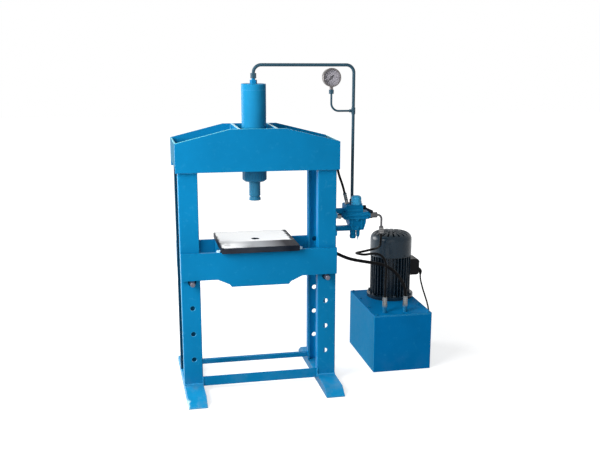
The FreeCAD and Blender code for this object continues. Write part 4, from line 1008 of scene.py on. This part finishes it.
def dial_ticks(centre, r):
    """Scale lines; each fifth one is longer and bolder."""
    bm = bmesh.new()
    for i in range(TICK_STEPS + 1):
        angle = math.radians(SCALE_START - SCALE_SWEEP * i / TICK_STEPS)
        start, half_width = (0.78, 0.0006) if i % 5 == 0 else (0.85, 0.0003)
        way = Vector((math.cos(angle), 0, math.sin(angle)))
        across = Vector((-way.z, 0, way.x)) * half_width
        inner, outer = centre + way * r * start, centre + way * r * 0.93
        slab(bm, [inner - across, outer - across, outer + across, inner + across], (0, -INK_DEPTH, 0))
    piece("dial_ticks", bm, "dial_ink")


def dial_numbers(centre, r):
    """Plain numbers by tens."""
    for i in range(NUMBER_STEPS + 1):
        angle = math.radians(SCALE_START - SCALE_SWEEP * i / NUMBER_STEPS)
        curve = bpy.data.curves.new("dial_number", "FONT")
        curve.body = str(10 * i)
        curve.size = 0.0068
        curve.align_x, curve.align_y = "CENTER", "CENTER"
        curve.extrude = INK_DEPTH / 2
        curve.materials.append(MAT["dial_ink"])
        obj = add_object("dial_number_%d" % i, curve)
        obj.location = centre + Vector((r * 0.60 * math.cos(angle), -INK_DEPTH, r * 0.60 * math.sin(angle)))
        obj.rotation_euler = (math.pi / 2, 0, 0)
        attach(obj, "frame")


def gauge_details():
    """Rim, scale lines and numbers, set from the dial's own disc."""
    low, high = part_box("gauge_dial")
    x, z, r = (low.x + high.x) / 2, (low.z + high.z) / 2, (high.x - low.x) / 2
    face_y = high.y - 0.0021            # a hair before the disc's printed face
    centre = Vector((x, face_y, z))
    gauge_rim(x, z, r)
    dial_ticks(centre, r)
    dial_numbers(centre, r)


# ---------------------------------------------------------------- stored lead
def tie_loop(inset):
    """Corners (radius, height) of a tie's loop round the coil's section, drawn in by an inset."""
    cut = inset / 2
    r0, r1, z0, z1 = 0.0325 + inset, 0.0617 - inset, 0.0001 + inset, 0.0188 - inset
    r_inner, r_outer = r0 + 0.0020 - cut, r1 - 0.0022 + cut
    z_lower, z_upper = z0 + 0.0011 - cut, z1 - 0.0023 + cut
    return [(r0, z_lower), (r_inner, z0), (r_outer, z0), (r1, z_lower), (r1, z_upper), (r_outer, z1),
            (r_inner, z1), (r0, z_upper)]


def coil_ties():
    tie_thickness = 0.0008
    half_width = 0.0024
    centre = Vector((COIL_X, COIL_Y, 0))
    outer, inner = tie_loop(0), tie_loop(tie_thickness)
    bm = bmesh.new()
    for degrees in (200, 20):
        angle = math.radians(degrees)
        way = Vector((math.cos(angle), math.sin(angle), 0))
        across = Vector((-way.y, way.x, 0)) * half_width
        for i in range(len(outer)):
            j = (i + 1) % len(outer)
            section = (outer[i], outer[j], inner[j], inner[i])
            slab(bm, [centre + way * r + Vector((0, 0, z)) - across for r, z in section], across * 2)
    piece("coil_ties", bm, "black_plastic")


def plug_ribs():
    low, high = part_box("plug")
    at = (low.x, (low.y + high.y) / 2, (low.z + high.z) / 2)
    first, pitch, width = 0.046, 0.0036, 0.0022
    bm = bmesh.new()
    for i in range(5):
        start = first + pitch * i
        band(bm, 0.0160, 0.0172, start, start + width, at, RIGHT)
    piece("plug_ribs", bm, "black_plastic")


# ---------------------------------------------------------------- stage and light
def seen_ray(tree):
    """1 for the rays that show the background: straight, mirrored or through glass."""
    path = node(tree, "ShaderNodeLightPath")
    mirrored = greater(tree, path.outputs["Is Glossy Ray"], path.outputs["Is Transmission Ray"])
    return greater(tree, path.outputs["Is Camera Ray"], mirrored)


def make_floor():
    """White floor that takes faint shadows near the press and none further out."""
    bm = bmesh.new()
    bmesh.ops.create_grid(bm, x_segments=1, y_segments=1, size=14)
    mesh = bpy.data.meshes.new("floor")
    bm.to_mesh(mesh)
    bm.free()
    floor = add_object("floor", mesh)
    floor.location = (0.2, 0, -0.0005)
    mat, tree, shader = new_material("floor")
    where = place(tree)
    broad = noise(tree, where, 1.5)
    tone = mix(tree, span(tree, broad, 0.3, 0.7), (0.50, 0.50, 0.50), (0.53, 0.53, 0.53))
    finish(tree, shader, tone, 0.9, 0.0)
    away = node(tree, "ShaderNodeVectorMath", operation="LENGTH")
    tree.links.new(where, away.inputs[0])
    glow = span(tree, away.outputs["Value"], 1.0, 3.2, 0.72, 1.0)
    feed(tree, (1, 1, 1), shader.inputs["Emission Color"])
    feed(tree, product(tree, seen_ray(tree), glow), shader.inputs["Emission Strength"])
    mesh.materials.append(mat)


def make_world():
    """Weak cool light from all round, behind a white background."""
    world = bpy.data.worlds.new("world")
    bpy.context.scene.world = world
    world.use_nodes = True
    tree = world.node_tree
    dim = tree.nodes["Background"]
    feed(tree, (0.93, 0.97, 1.0), dim.inputs["Color"])
    feed(tree, 0.25, dim.inputs["Strength"])
    white = node(tree, "ShaderNodeBackground", {"Color": (1, 1, 1, 1), "Strength": 1.0})
    blend = node(tree, "ShaderNodeMixShader")
    for value, index in ((seen_ray(tree), 0), (dim.outputs[0], 1), (white.outputs[0], 2)):
        feed(tree, value, blend.inputs[index])
    tree.links.new(blend.outputs[0], tree.nodes["World Output"].inputs["Surface"])


def add_lamp(name, at, target, size, power):
    data = bpy.data.lights.new(name, "AREA")
    data.shape = "SQUARE"
    data.size = size
    data.energy = power
    obj = add_object(name, data)
    obj.location = at
    obj.rotation_mode = "QUATERNION"
    obj.rotation_quaternion = (Vector(target) - Vector(at)).to_track_quat("-Z", "Y")


def make_lamps():
    """A broad key from the left, a weak fill from the camera, and two from behind."""
    add_lamp("key", (-2.1, -1.5, 2.0), (0.1, 0, 0.6), 2.0, 135)
    add_lamp("fill", (-0.6, -4.4, 2.0), (0.0, 0, 0.6), 2.5, 26)
    add_lamp("side", (-2.0, 2.0, 1.2), (0.4, 0.1, 0.4), 1.6, 88)
    add_lamp("back", (1.0, 3.4, 3.2), (0.2, 0, 0.8), 2.5, 24)


for make in (place_camera, make_cords, post_welds, crown_welds, barrel_welds, bracket_welds, flange_bolts,
             lid_screws, cover_trim, box_screws, valve_details, hose_crimps, pin_details, gauge_details,
             coil_ties, plug_ribs, bolster_details, make_floor, make_world, make_lamps):
    make()

view_settings = bpy.context.scene.view_settings
view_settings.view_transform = "Standard"
